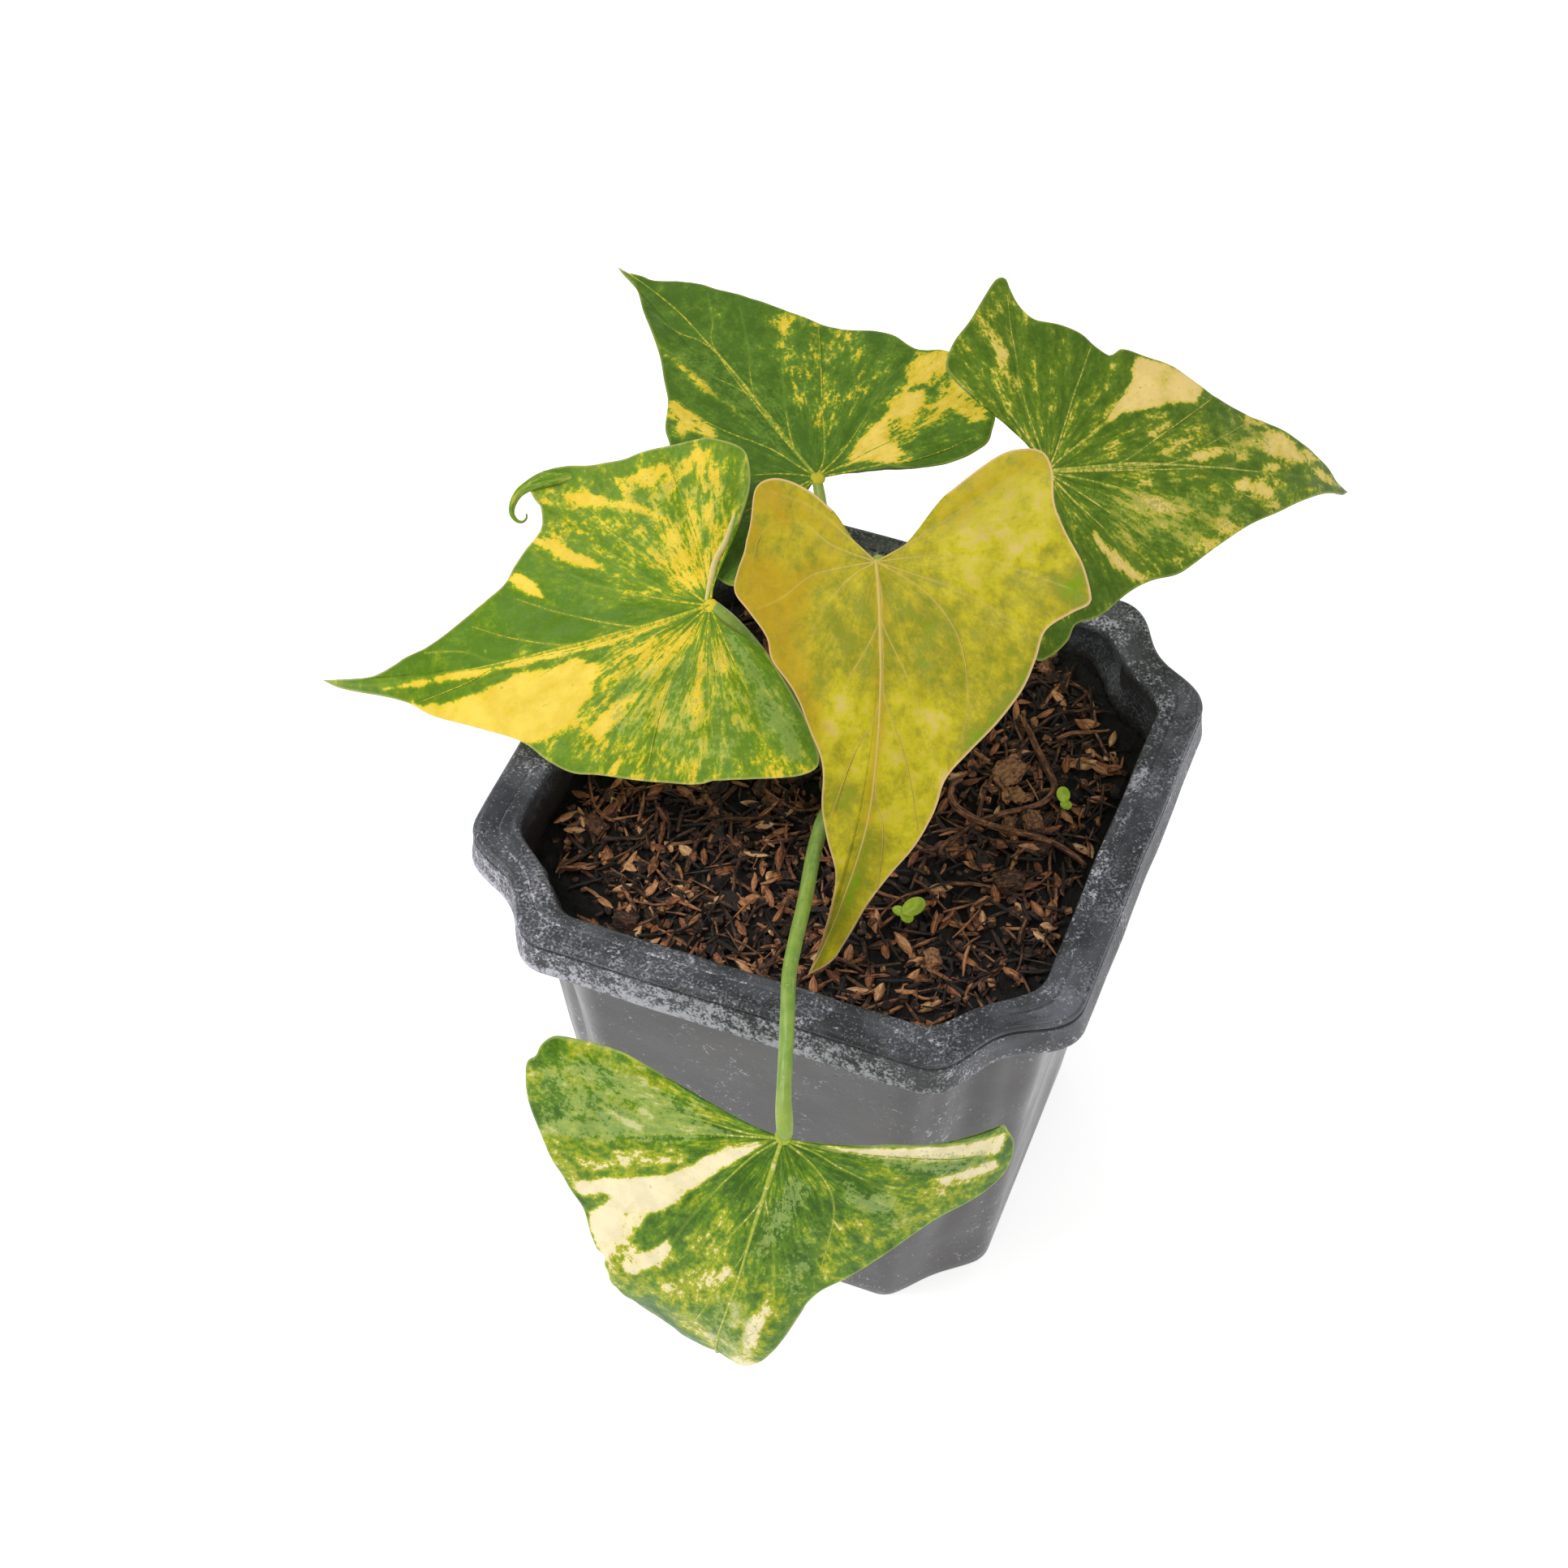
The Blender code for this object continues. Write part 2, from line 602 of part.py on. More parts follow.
def make_blade(leaf, where):
    """A waved sheet, fanned out from the joint, with a leaf's thickness."""
    edge = leaf.edge(BLADE_COLUMNS)
    n = len(edge)
    points = [leaf.joint.copy()]
    for share in BLADE_RINGS:
        for k, e in enumerate(edge):
            points.append(leaf.sheet_point(e, share, 2 * pi * k / n))
    faces = [(0, k + 2, k + 1) for k in range(n - 1)]
    for i in range(len(BLADE_RINGS) - 1):
        for k in range(n - 1):
            a = 1 + i * n + k
            faces.append((a, a + 1, a + n + 1))
            faces.append((a, a + n + 1, a + n))
    mat = material("leaf_" + leaf.name, leaf.colour, 0.38)
    blade = mesh_object("blade_" + leaf.name, points, faces, mat, where)
    thick = blade.modifiers.new("thickness", "SOLIDIFY")
    thick.thickness = BLADE_THICK * MM
    thick.offset = -1.0
    thick.use_rim = True
    return blade


def add_horn(leaf, blade):
    """The curled horn on the upper margin, fused into the blade."""
    apply_modifiers(blade)
    group = collection("horn_parts")
    half = leaf.up * BLADE_THICK * 0.5
    route = [leaf.place(u, v) - half for u, v in HORN]
    tube("horn", route, HORN_RADII, None, group, sides=1)
    join_collection(blade, group)


def make_stalk(leaf, mat, where):
    r = STALK_RADIUS
    radii = (STALK_FOOT_RADIUS, r, r * 0.95, r, r * 1.15)
    return tube("petiole_" + leaf.name, leaf.stalk, radii, mat, where)


def make_crown(where, cutters):
    """The short stem, with a socket where each leaf stalk grows out."""
    r = CROWN_RADIUS
    profile = [(0, CROWN_TOP + 0.6), (r - 4.0, CROWN_TOP), (r - 1.2, CROWN_TOP - 2.0),
               (r + 0.1, CROWN_TOP - 4.5), (r - 0.5, CROWN_TOP - 7.0), (r, CROWN_FOOT + 10),
               (r - 0.6, CROWN_FOOT + 3), (r - 2.5, CROWN_FOOT), (0, CROWN_FOOT)]
    mat = material("crown_green", (0.30, 0.30, 0.10), 0.55)
    crown = mesh_object("crown", [(x, 0.0, z) for x, z in profile], [], mat, where)
    crown.data.edges.add(len(profile) - 1)
    for i, edge in enumerate(crown.data.edges):
        edge.vertices = (i, i + 1)
    crown.data.transform(Matrix.Translation((r / 2 * MM + 0.05 * MM, 0, 0)))
    crown.location = (CROWN_CENTRE[0] * MM, CROWN_CENTRE[1] * MM, crown.location.z)
    turn = crown.modifiers.new("turn", "SCREW")
    turn.axis = "Z"
    turn.steps = 20
    turn.render_steps = 20
    turn.use_merge_vertices = True
    turn.merge_threshold = 0.0001
    for leaf in LEAVES:
        start = Vector(leaf.stalk[0])
        onward = smooth_through(leaf.stalk, 3)[1:4]
        back = start + (start - onward[0]).normalized() * GAP
        radii = (STALK_FOOT_RADIUS + GAP, STALK_FOOT_RADIUS + GAP)
        cutter = tube("socket_" + leaf.name, [back, start] + onward, radii, None, cutters, steps=1)
        hide_cutter(cutter, cutters)
        cut_with(crown, cutter, "MANIFOLD")
    return crown


def make_seedling(name, spot, size, mat, where):
    """A weed seedling: a thin stem with three small cupped leaves."""
    x, y = spot
    ground = soil_height(x, y)
    top = Vector((x + 0.3, y + 0.1, ground + STEM_HEIGHT))
    route = [(x, y, ground - STEM_ROOT), (x + 0.1, y, ground + 0.5), top + Vector((0, 0, 0.2))]
    stem = tube(name, route, (STEM_RADIUS, STEM_RADIUS, STEM_RADIUS - 0.1), mat, where, steps=2, sides=1)
    group = collection(name + "_leaves")
    for k, share in enumerate((0.62, 0.5, 0.42)):
        long = size * share
        bm = bmesh.new()
        bmesh.ops.create_circle(bm, cap_ends=True, cap_tris=True, segments=10, radius=0.5)
        for v in bm.verts:
            cup = SEEDLING_CUP * v.co.xy.length_squared
            v.co = Vector(((v.co.x + 0.44) * long, v.co.y * long * 0.72, cup * long))
        leaf = bpy.data.objects.new(name + "_leaf", bpy.data.meshes.new(name + "_leaf"))
        turn = Matrix.Rotation(radians(35 + 118 * k), 4, "Z") @ Matrix.Rotation(radians(-18), 4, "Y")
        bm.transform(Matrix.Translation(top * MM) @ turn @ Matrix.Scale(MM, 4))
        bm.to_mesh(leaf.data)
        bm.free()
        leaf.data.materials.append(mat)
        group.objects.link(leaf)
        thick = leaf.modifiers.new("thickness", "SOLIDIFY")
        thick.thickness = BLADE_THICK * MM
        thick.offset = 0.0
    join_collection(stem, group)
    return stem


def main():
    clear_scene()
    plant = collection("potted_anthurium")
    cutters = collection("cutters")
    make_pot(plant, cutters)
    make_potting_mix(plant, cutters)
    stalk = material("leaf_stalk", (0.20, 0.32, 0.09), 0.45)
    for leaf in LEAVES:
        blade = make_blade(leaf, plant)
        if leaf.name == "left":
            add_horn(leaf, blade)
        make_stalk(leaf, stalk, plant)
    make_crown(plant, cutters)
    weed = material("seedling_green", (0.30, 0.55, 0.08), 0.5)
    for name, spot, size in SEEDLINGS:
        make_seedling(name, spot, size, weed, plant)


main()
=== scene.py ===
"""Looks of a variegated anthurium in a square nursery pot.

Lengths are in millimetres here and become metres where a mesh is made. A leaf
is drawn flat, u along its midrib and v to its left, and is then bent in place.
"""

import random
from math import cos, exp, hypot, pi, radians, sin, sqrt

import bpy
import numpy as np
from bpy.props import FloatProperty, FloatVectorProperty, IntProperty, PointerProperty
from mathutils import Matrix, Vector, noise


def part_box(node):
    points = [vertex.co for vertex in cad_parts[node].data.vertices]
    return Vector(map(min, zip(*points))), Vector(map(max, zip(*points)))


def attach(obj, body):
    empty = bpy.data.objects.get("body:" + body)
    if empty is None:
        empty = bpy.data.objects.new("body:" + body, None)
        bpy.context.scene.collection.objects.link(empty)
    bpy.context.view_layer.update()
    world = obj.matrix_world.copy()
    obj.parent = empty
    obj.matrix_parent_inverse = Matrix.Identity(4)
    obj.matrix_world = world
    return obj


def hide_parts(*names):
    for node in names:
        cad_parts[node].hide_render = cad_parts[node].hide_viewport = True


bl_info = {
    "name": "Potted Anthurium",
    "version": (1, 0, 0),
    "blender": (4, 5, 0),
    "location": "View3D > Sidebar > Anthurium",
    "description": "Builds the leaves, stalks, potting mix and pot of a variegated anthurium",
    "category": "Object",
}

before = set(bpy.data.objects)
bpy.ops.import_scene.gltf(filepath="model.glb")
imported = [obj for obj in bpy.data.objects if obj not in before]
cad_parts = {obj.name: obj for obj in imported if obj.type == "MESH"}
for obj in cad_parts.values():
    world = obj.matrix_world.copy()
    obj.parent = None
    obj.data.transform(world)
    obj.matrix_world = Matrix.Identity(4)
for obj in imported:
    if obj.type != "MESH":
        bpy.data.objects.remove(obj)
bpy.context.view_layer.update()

MM = 0.001
SEED = 7


def node_box(name):
    """A node's lowest and highest corners in millimetres."""
    low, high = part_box(name)
    return np.array(low) / MM, np.array(high) / MM


POT_HIGH = node_box("pot")[1]
CROWN_LOW, CROWN_HIGH = node_box("crown")

# Pot
RIM_TOP = POT_HIGH[2]
SKIRT_HALF = POT_HIGH[0]
RIM_HALF = SKIRT_HALF - 1.2
SKIRT_FOOT = RIM_TOP - 10.9
INNER_HALF = 64.9
BODY_HALF_TOP = 68.5
BASE_HALF = 54.3
RIM_CUT = 124.7
SKIRT_CUT = 126.0
INNER_CUT = 109.5
BODY_CUT_TOP = 110.7
BASE_CUT = 88.2
GROOVE_HALF = 68.9
GROOVE_CUT = 117.1
WALL = 1.5
FLOOR = 2.0
DRAIN_RADIUS = 5.0
DRAIN_OFFSET = 28.0

# Potting mix
SOIL_TOP = 126.0
SOIL_SLOPE = 0.035
SOIL_RELIEF = 1.6
CROWN_CENTRE = ((CROWN_LOW[0] + CROWN_HIGH[0]) / 2, (CROWN_LOW[1] + CROWN_HIGH[1]) / 2)
CROWN_RADIUS = 9.0
CROWN_CLEAR = 10.5
MIX_HALF = 63.0
MIX_CUT = 99.0

# Leaves
BLADE_THICK = 0.8
EDGE_SHARES = (0.975, 0.988, 1.0)
GRAIN_TURN = 10.0
GRAIN_REACH = 9.0
# A leaf's heading times one of these moves its pattern away from the other leaves'.
FLAT_SHIFT = 1.3
GRAIN_SHIFT = 0.37
SKIN_SHIFT = 0.1
# A loose piece's tone times this moves its streaks away from the other pieces'.
TONE_SHIFT = 90


def paint(red, green, blue):
    """A colour given from 0 to 255 as it is seen, made linear."""
    def straight(c):
        c = c / 255.0
        return c / 12.92 if c <= 0.04045 else ((c + 0.055) / 1.055) ** 2.4
    return (straight(red), straight(green), straight(blue))


class PlantSettings(bpy.types.PropertyGroup):
    """Sizes and colours of the living plant."""

    blade_columns: IntProperty(
        name="Blade columns", description="Points along each half of a blade's margin",
        default=150, min=20, max=200)
    blade_rings: IntProperty(
        name="Blade rings", description="Rows of points from the joint to the margin",
        default=48, min=8, max=80)
    vein_radius: FloatProperty(
        name="Vein radius", description="Radius of a midrib where it leaves the joint",
        default=0.00055, min=0.0002, max=0.003, subtype="DISTANCE", unit="LENGTH")
    stalk_radius: FloatProperty(
        name="Stalk radius", description="Radius of a leaf stalk halfway up",
        default=0.00175, min=0.0005, max=0.005, subtype="DISTANCE", unit="LENGTH")
    leaf_roughness: FloatProperty(
        name="Leaf roughness", description="How dull a blade's surface is",
        default=0.42, min=0.0, max=1.0, subtype="FACTOR")
    stalk_colour: FloatVectorProperty(
        name="Stalk colour", description="Main colour of the leaf stalks",
        default=paint(138, 168, 64), size=3, min=0, max=1, subtype="COLOR")
    seedling_colour: FloatVectorProperty(
        name="Seedling colour", description="Colour of the weed seedlings",
        default=paint(160, 200, 40), size=3, min=0, max=1, subtype="COLOR")


class PotSettings(bpy.types.PropertyGroup):
    """Finish of the moulded pot."""

    body_colour: FloatVectorProperty(
        name="Body colour", description="Colour of the pot's plastic",
        default=paint(52, 51, 53), size=3, min=0, max=1, subtype="COLOR")
    rim_colour: FloatVectorProperty(
        name="Rim colour", description="Colour of the rim's plastic between the deposits",
        default=paint(48, 49, 52), size=3, min=0, max=1, subtype="COLOR")
    chalk_colour: FloatVectorProperty(
        name="Chalk colour", description="Colour of the mineral deposits",
        default=paint(210, 208, 221), size=3, min=0, max=1, subtype="COLOR")
    roughness: FloatProperty(
        name="Roughness", description="How dull the clean plastic is",
        default=0.3, min=0.0, max=1.0, subtype="FACTOR")


class MixSettings(bpy.types.PropertyGroup):
    """What the potting mix holds."""

    husks: IntProperty(
        name="Husks", description="Grain husks on the surface", default=420, min=0, max=1000)
    fibres: IntProperty(
        name="Fibres", description="Short dark sticks on the surface", default=1500, min=0, max=3000)
    roots: IntProperty(
        name="Roots", description="Curved roots on the surface", default=70, min=0, max=300)
    chips: IntProperty(
        name="Chips", description="Pieces of bark on the surface", default=60, min=0, max=300)
    crumbs: IntProperty(
        name="Crumbs", description="Small crumbs between the larger pieces", default=1400, min=0, max=2500)
    husk_length: FloatProperty(
        name="Husk length", description="Length of a grain husk",
        default=0.0068, min=0.002, max=0.02, subtype="DISTANCE", unit="LENGTH")


class StageSettings(bpy.types.PropertyGroup):
    """Floor, lights and camera."""

    floor_colour: FloatVectorProperty(
        name="Floor colour", description="Colour of the floor",
        default=(0.9, 0.9, 0.9), size=3, min=0, max=1, subtype="COLOR")
    sky_strength: FloatProperty(
        name="Sky strength", description="Brightness of the white surroundings",
        default=0.52, min=0.0, max=5.0)
    key_power: FloatProperty(
        name="Key power", description="Power of the large soft light",
        default=7.0, min=0.0, max=500.0, subtype="POWER", unit="POWER")
    lens: FloatProperty(
        name="Lens", description="Focal length of the camera", default=74.53, min=10.0, max=300.0)


class Finish:
    """A material, and short ways to add nodes to it."""

    def __init__(self, name):
        self.material = bpy.data.materials.new(name)
        self.material.use_nodes = True
        self.tree = self.material.node_tree
        self.shader = self.tree.nodes["Principled BSDF"]

    def put(self, socket, value):
        """Links a socket to another or sets its value. A colour has three parts."""
        if isinstance(value, bpy.types.NodeSocket):
            self.tree.links.new(value, socket)
        elif socket.type == "RGBA":
            socket.default_value = (*value, 1.0)
        else:
            socket.default_value = value

    def node(self, kind, out=0, inputs=None, **settings):
        made = self.tree.nodes.new("ShaderNode" + kind)
        for key, value in settings.items():
            setattr(made, key, value)
        for key, value in (inputs or {}).items():
            self.put(made.inputs[key], value)
        return made.outputs[out]

    def value(self, name):
        """A number carried by the mesh's points."""
        return self.node("Attribute", "Fac", attribute_name=name)

    def vector(self, name):
        """A vector carried by the mesh's points."""
        return self.node("Attribute", "Vector", attribute_name=name)

    def place(self):
        return self.node("TexCoord", "Object")

    def sums(self, kind, a, b):
        return self.node("Math", 0, {0: a, 1: b}, operation=kind)

    def times(self, a, b):
        return self.sums("MULTIPLY", a, b)

    def weigh(self, *pairs):
        """The sum of values, each times its weight."""
        total = None
        for value, weight in pairs:
            part = self.times(value, weight)
            total = part if total is None else self.sums("ADD", total, part)
        return total

    def swing(self, value):
        """A noise value moved to lie about zero."""
        return self.sums("SUBTRACT", value, 0.5)

    def span(self, value, low, high, to_low=0.0, to_high=1.0):
        """A value that goes softly from to_low to to_high as another passes from low to high."""
        return self.node("MapRange", 0, {0: value, 1: low, 2: high, 3: to_low, 4: to_high},
                         interpolation_type="SMOOTHSTEP")

    def blend(self, amount, a, b):
        return self.node("Mix", 2, {0: amount, 6: a, 7: b}, data_type="RGBA")

    def stretch(self, where, scale, turn=(0.0, 0.0, 0.0)):
        return self.node("Mapping", 0, {"Vector": where, "Scale": scale, "Rotation": turn})

    def noise(self, where, scale, detail=2.0, rough=0.5, bend=0.0):
        return self.node("TexNoise", 0, {"Vector": where, "Scale": scale, "Detail": detail,
                                         "Roughness": rough, "Distortion": bend})

    def cells(self, where, scale, feature="DISTANCE_TO_EDGE"):
        return self.node("TexVoronoi", 0, {"Vector": where, "Scale": scale}, feature=feature)

    def ramp(self, amount, stops):
        """A colour read from stops, each a place from 0 to 1 and its colour."""
        made = self.tree.nodes.new("ShaderNodeValToRGB")
        self.tree.links.new(amount, made.inputs[0])
        elements = made.color_ramp.elements
        while len(elements) < len(stops):
            elements.new(0.5)
        for element, (place, colour) in zip(elements, stops):
            element.position = place
            element.color = (*colour, 1.0)
        return made.outputs[0]

    def bump(self, height, distance, strength=1.0):
        """Relief as deep as distance, in millimetres."""
        return self.node("Bump", 0, {"Height": height, "Distance": distance * MM, "Strength": strength})

    def wear(self, **sockets):
        """Sets the shader's sockets, with _ for a space in their names."""
        for key, value in sockets.items():
            self.put(self.shader.inputs[key.replace("_", " ")], value)
        return self.material


class Solid:
    """Gathers points, faces and point values in millimetres, then becomes an object."""

    def __init__(self, values=(), vectors=()):
        self.points = []
        self.faces = []
        self.slots = []
        self.values = {key: [] for key in values}
        self.vectors = {key: [] for key in vectors}
        self.count = 0

    def add(self, points, faces, slot=0, **carried):
        """Adds points and faces. A carried value is one for all points or one a point."""
        points = np.asarray(points, float).reshape(-1, 3)
        self.points.append(points)
        self.faces += [tuple(i + self.count for i in face) for face in faces]
        self.slots += [slot] * len(faces)
        for key, rows in self.values.items():
            rows.append(np.broadcast_to(np.asarray(carried.get(key, 0.0), float), (len(points),)))
        for key, rows in self.vectors.items():
            given = np.asarray(carried.get(key, (0.0, 0.0, 0.0)), float)
            rows.append(np.broadcast_to(given, (len(points), 3)))
        self.count += len(points)

    def add_tube(self, route, radii, sides, squeeze=1.0, **carried):
        """Adds a round bar along a route. A carried value may have one row a route point."""
        points, faces = tube_shell(np.asarray(route, float), radii, sides, squeeze)
        spread = {}
        if "skin" in self.vectors and "skin" not in carried:
            turn = np.tile(2 * pi * np.arange(sides) / sides, len(route))
            far = np.repeat(travelled(route), sides)
            offset = 37.0 * self.count % 1000.0
            spread["skin"] = with_tips(np.stack(
                [far + offset, np.cos(turn) * radii[0], np.sin(turn) * radii[0]], 1))
        for key, value in carried.items():
            value = np.asarray(value, float)
            if value.ndim and len(value) == len(route):
                value = with_tips(np.repeat(value, sides, axis=0))
            spread[key] = value
        self.add(points, faces, **spread)

    def make(self, name, materials, replaces, sharp=None):
        """Makes the object, which rides on the root. sharp is the angle of its hard edges."""
        mesh = bpy.data.meshes.new(name)
        points = np.concatenate(self.points) * MM
        mesh.from_pydata(points.tolist(), [], self.faces)
        mesh.polygons.foreach_set("material_index", self.slots)
        mesh.shade_smooth()
        if sharp:
            mesh.set_sharp_from_angle(angle=radians(sharp))
        for key, rows in self.values.items():
            layer = mesh.attributes.new(key, "FLOAT", "POINT")
            layer.data.foreach_set("value", np.concatenate(rows).astype(np.float32))
        for key, rows in self.vectors.items():
            layer = mesh.attributes.new(key, "FLOAT_VECTOR", "POINT")
            layer.data.foreach_set("vector", np.concatenate(rows).astype(np.float32).ravel())
        for material in materials:
            mesh.materials.append(material)
        ob = bpy.data.objects.new(name, mesh)
        bpy.context.scene.collection.objects.link(ob)
        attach(ob, "root")
        if replaces:
            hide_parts(*replaces)
        return ob


def unit(rows):
    """Rows scaled to a length of one."""
    return rows / np.maximum(np.linalg.norm(rows, axis=-1, keepdims=True), 1e-9)


def travelled(route):
    """The distance along a route at each of its points."""
    return np.linalg.norm(np.diff(route, axis=0, prepend=route[:1]), axis=1).cumsum()


def with_tips(rows):
    """Rows for a tube's points, with those of its two tips put last."""
    return np.concatenate([rows, rows[:1], rows[-1:]])


def band_faces(bands, n, flip=False):
    """The faces of bands between rings of n points each."""
    faces = []
    for i in range(bands):
        for k in range(n):
            a, b = i * n + k, i * n + (k + 1) % n
            if flip:
                a, b = b, a
            faces.append((a, b, b + n, a + n))
    return faces


def tube_shell(route, radii, sides, squeeze):
    """Points and faces round a route. squeeze narrows the bar along its own up."""
    n = len(route)
    radii = np.interp(np.linspace(0, 1, n), np.linspace(0, 1, len(radii)), radii)
    along = unit(np.gradient(route, axis=0))
    up = np.cross(along[0], (0.31, 0.95, 0.05))
    rows = []
    for i in range(n):
        up = unit(up - along[i] * (up @ along[i]))
        side = np.cross(along[i], up)
        turn = 2 * pi * np.arange(sides)[:, None] / sides
        rows.append(route[i] + radii[i] * (np.cos(turn) * side + np.sin(turn) * up * squeeze))
    tips = [route[:1] - along[:1] * radii[0] * 0.5, route[-1:] + along[-1:] * radii[-1] * 0.5]
    faces = band_faces(n - 1, sides)
    first, last, top = n * sides, n * sides + 1, (n - 1) * sides
    for k in range(sides):
        j = (k + 1) % sides
        faces += [(j, k, first), (top + k, top + j, last)]
    return np.concatenate(rows + tips), faces


def smooth_through(points, steps):
    """A smooth curve through points of any dimension, steps points to a span."""
    pts = np.asarray(points, float)
    pts = np.concatenate([[2 * pts[0] - pts[1]], pts, [2 * pts[-1] - pts[-2]]])
    out = []
    for i in range(1, len(pts) - 2):
        a, b, c, d = pts[i - 1:i + 3]
        for t in np.arange(steps) / steps:
            out.append(0.5 * (2 * b + (c - a) * t + (2 * a - 5 * b + 4 * c - d) * t * t
                              + (3 * b - a - 3 * c + d) * t ** 3))
    out.append(pts[-2])
    return np.array(out)


def even_spacing(points, count):
    """count + 1 points at equal distances along a line of points."""
    far = travelled(points)
    want = np.linspace(0, far[-1], count + 1)
    return np.stack([np.interp(want, far, points[:, k]) for k in range(points.shape[1])], 1)


def bent_line(length, degrees_at):
    """Distance along, fall and angle at each millimetre of a bent line."""
    along, fall = 0.0, 0.0
    line = [(along, fall, radians(degrees_at(0.0)))]
    for i in range(length):
        angle = radians(degrees_at(i + 0.5))
        along += cos(angle)
        fall += sin(angle)
        line.append((along, fall, radians(degrees_at(i + 1.0))))
    return np.array(line)


def read_line(line, d):
    """A bent line's three values at distances d along it."""
    at = np.arange(len(line))
    return tuple(np.interp(d, at, line[:, k]) for k in range(3))


def inside_by(points, corners):
    """How far points lie inside an outline of corners, below zero outside."""
    a = np.asarray(corners, float)
    b = np.roll(a, -1, axis=0)
    p = points[:, None, :]
    edge = b - a
    t = np.clip(((p - a) * edge).sum(-1) / (edge ** 2).sum(-1), 0, 1)
    away = np.linalg.norm(p - a - t[..., None] * edge, axis=-1).min(1)
    above = (a[:, 1] > p[..., 1]) != (b[:, 1] > p[..., 1])
    rise = np.where(np.abs(edge[:, 1]) < 1e-9, 1e-9, edge[:, 1])
    cross = a[:, 0] + (p[..., 1] - a[:, 1]) / rise * edge[:, 0]
    within = (above & (p[..., 0] < cross)).sum(1) % 2 == 1
    return np.where(within, away, -away)


def distance_to_lines(points, lines):
    """The distance from each flat point to the nearest of several flat lines."""
    best = np.full(len(points), 1e9)
    for line in lines:
        a, b = line[:-1], line[1:]
        edge = b - a
        p = points[:, None, :]
        t = np.clip(((p - a) * edge).sum(-1) / np.maximum((edge ** 2).sum(-1), 1e-9), 0, 1)
        best = np.minimum(best, np.linalg.norm(p - a - t[..., None] * edge, axis=-1).min(1))
    return best


class Leaf:
    """One leaf: where its blade is joined, how it lies, its outline and its pattern.

    heading is the way the midrib points in plan, dip how steeply it falls at
    the joint, and roll how far its left side is lifted, all in degrees.
    arch is the midrib's bend in degrees per 10 mm, and curl the extra bend
    past curl_from. left and right each hold a side's fold at the midrib, the
    distance where it starts to turn down, and its turn in degrees per 10 mm.
    sway bows the midrib to the left, waves is the height of the margin's
    waves, and sinus how far each side of the notch bends in at the joint.
    outline and veins are flat points. A patch is a level, from -1 for deep
    green to 1 for cream, the width of its edge, and its flat corners. colours
    lie at stops along that level, and soft_tint gives calmer, softer mottling.
    knot scales the swelling at the joint, and girth the stalk's thickness.
    """

    # The tint patches are of the same kind as the patches: a coppery colour on the young leaf, painted
    # silvery sheen on the others.
    def __init__(self, name, joint, heading, dip, roll, arch, curl_from, curl, left, right, sway,
                 waves, outline, stalk, slot, veins, base, patches, tints_and_sheen, colours, tint_and_sheen_colour,
                 vein_colour, margin_colour, sinus=(0.2, 0.2), soft_tint=False, knot=1.0, girth=1.0,
                 stops=(0.0, 0.36, 0.5, 0.57, 0.95)):
        self.name = name
        self.joint = np.array(joint, float)
        self.heading = heading
        self.dip = dip
        self.sway = sway
        self.waves = waves
        self.outline = np.array(outline, float)
        self.stalk = stalk
        self.slot = slot
        self.veins = [smooth_through([(0, 0)] + list(v), 6) for v in veins]
        self.base = base
        self.patches = patches
        self.tints_and_sheen = tints_and_sheen
        self.colours = colours
        self.tint_and_sheen_colour = tint_and_sheen_colour
        self.vein_colour = vein_colour
        self.margin_colour = margin_colour
        self.sinus = sinus
        self.soft_tint = soft_tint
        self.stops = stops
        self.knot = knot
        self.girth = girth
        self.tip = int(np.argmax(np.hypot(self.outline[:, 0], self.outline[:, 1])))
        self.length = float(np.hypot(*self.outline[self.tip]))
        self.widest = float(np.abs(np.degrees(np.arctan2(self.outline[:, 1], self.outline[:, 0]))).max())
        h, p, r = radians(heading), radians(dip), radians(roll)
        self.along = np.array((cos(h) * cos(p), sin(h) * cos(p), -sin(p)))
        level = np.array((-sin(h), cos(h), 0.0))
        up = np.cross(self.along, level)
        self.side = level * cos(r) + up * sin(r)
        self.up = up * cos(r) - level * sin(r)
        self.rib = bent_line(160, lambda u: arch * u / 10 + curl * max(0.0, u - curl_from) / 10)
        self.left = bent_line(110, lambda v: side_angle(v, *left))
        self.right = bent_line(110, lambda v: side_angle(v, *right))

    def put(self, flat, lift=0.0):
        """Points of the upper face at flat points, raised by lift."""
        u, v = flat[:, 0], flat[:, 1]
        t = np.clip(u / self.length, 0, 1)
        v = v + self.sway * 4 * t * (1 - t)
        x, z, a = read_line(self.rib, np.maximum(u, 0))
        x = np.where(u >= 0, x, u)
        y_left, fall_left, _ = read_line(self.left, np.abs(v))
        y_right, fall_right, _ = read_line(self.right, np.abs(v))
        y = np.where(v >= 0, y_left, -y_right)
        h = lift - np.where(v >= 0, fall_left, fall_right)
        return (self.joint + np.outer(x + h * np.sin(a), self.along) + np.outer(y, self.side)
                + np.outer(h * np.cos(a) - z, self.up))

    def pattern(self, flat):
        """Flat points as the materials read them, apart from those of the other leaves."""
        return np.concatenate([flat, np.full((len(flat), 1), self.heading * FLAT_SHIFT)], 1)

    def face_out(self, flat):
        """The upper face's outward directions at flat points."""
        du = self.put(flat + (1.0, 0.0)) - self.put(flat - (1.0, 0.0))
        dv = self.put(flat + (0.0, 1.0)) - self.put(flat - (0.0, 1.0))
        return unit(np.cross(du, dv))

    def margin(self, columns):
        """Bearing in radians and reach of the outline, the left side first."""
        halves = []
        for part in (self.outline[:self.tip + 1], self.outline[self.tip:]):
            halves.append(even_spacing(smooth_through(part, 8), columns))
        flat = np.concatenate([halves[0], halves[1][1:]])
        return np.arctan2(flat[:, 1], flat[:, 0]), np.hypot(flat[:, 0], flat[:, 1])

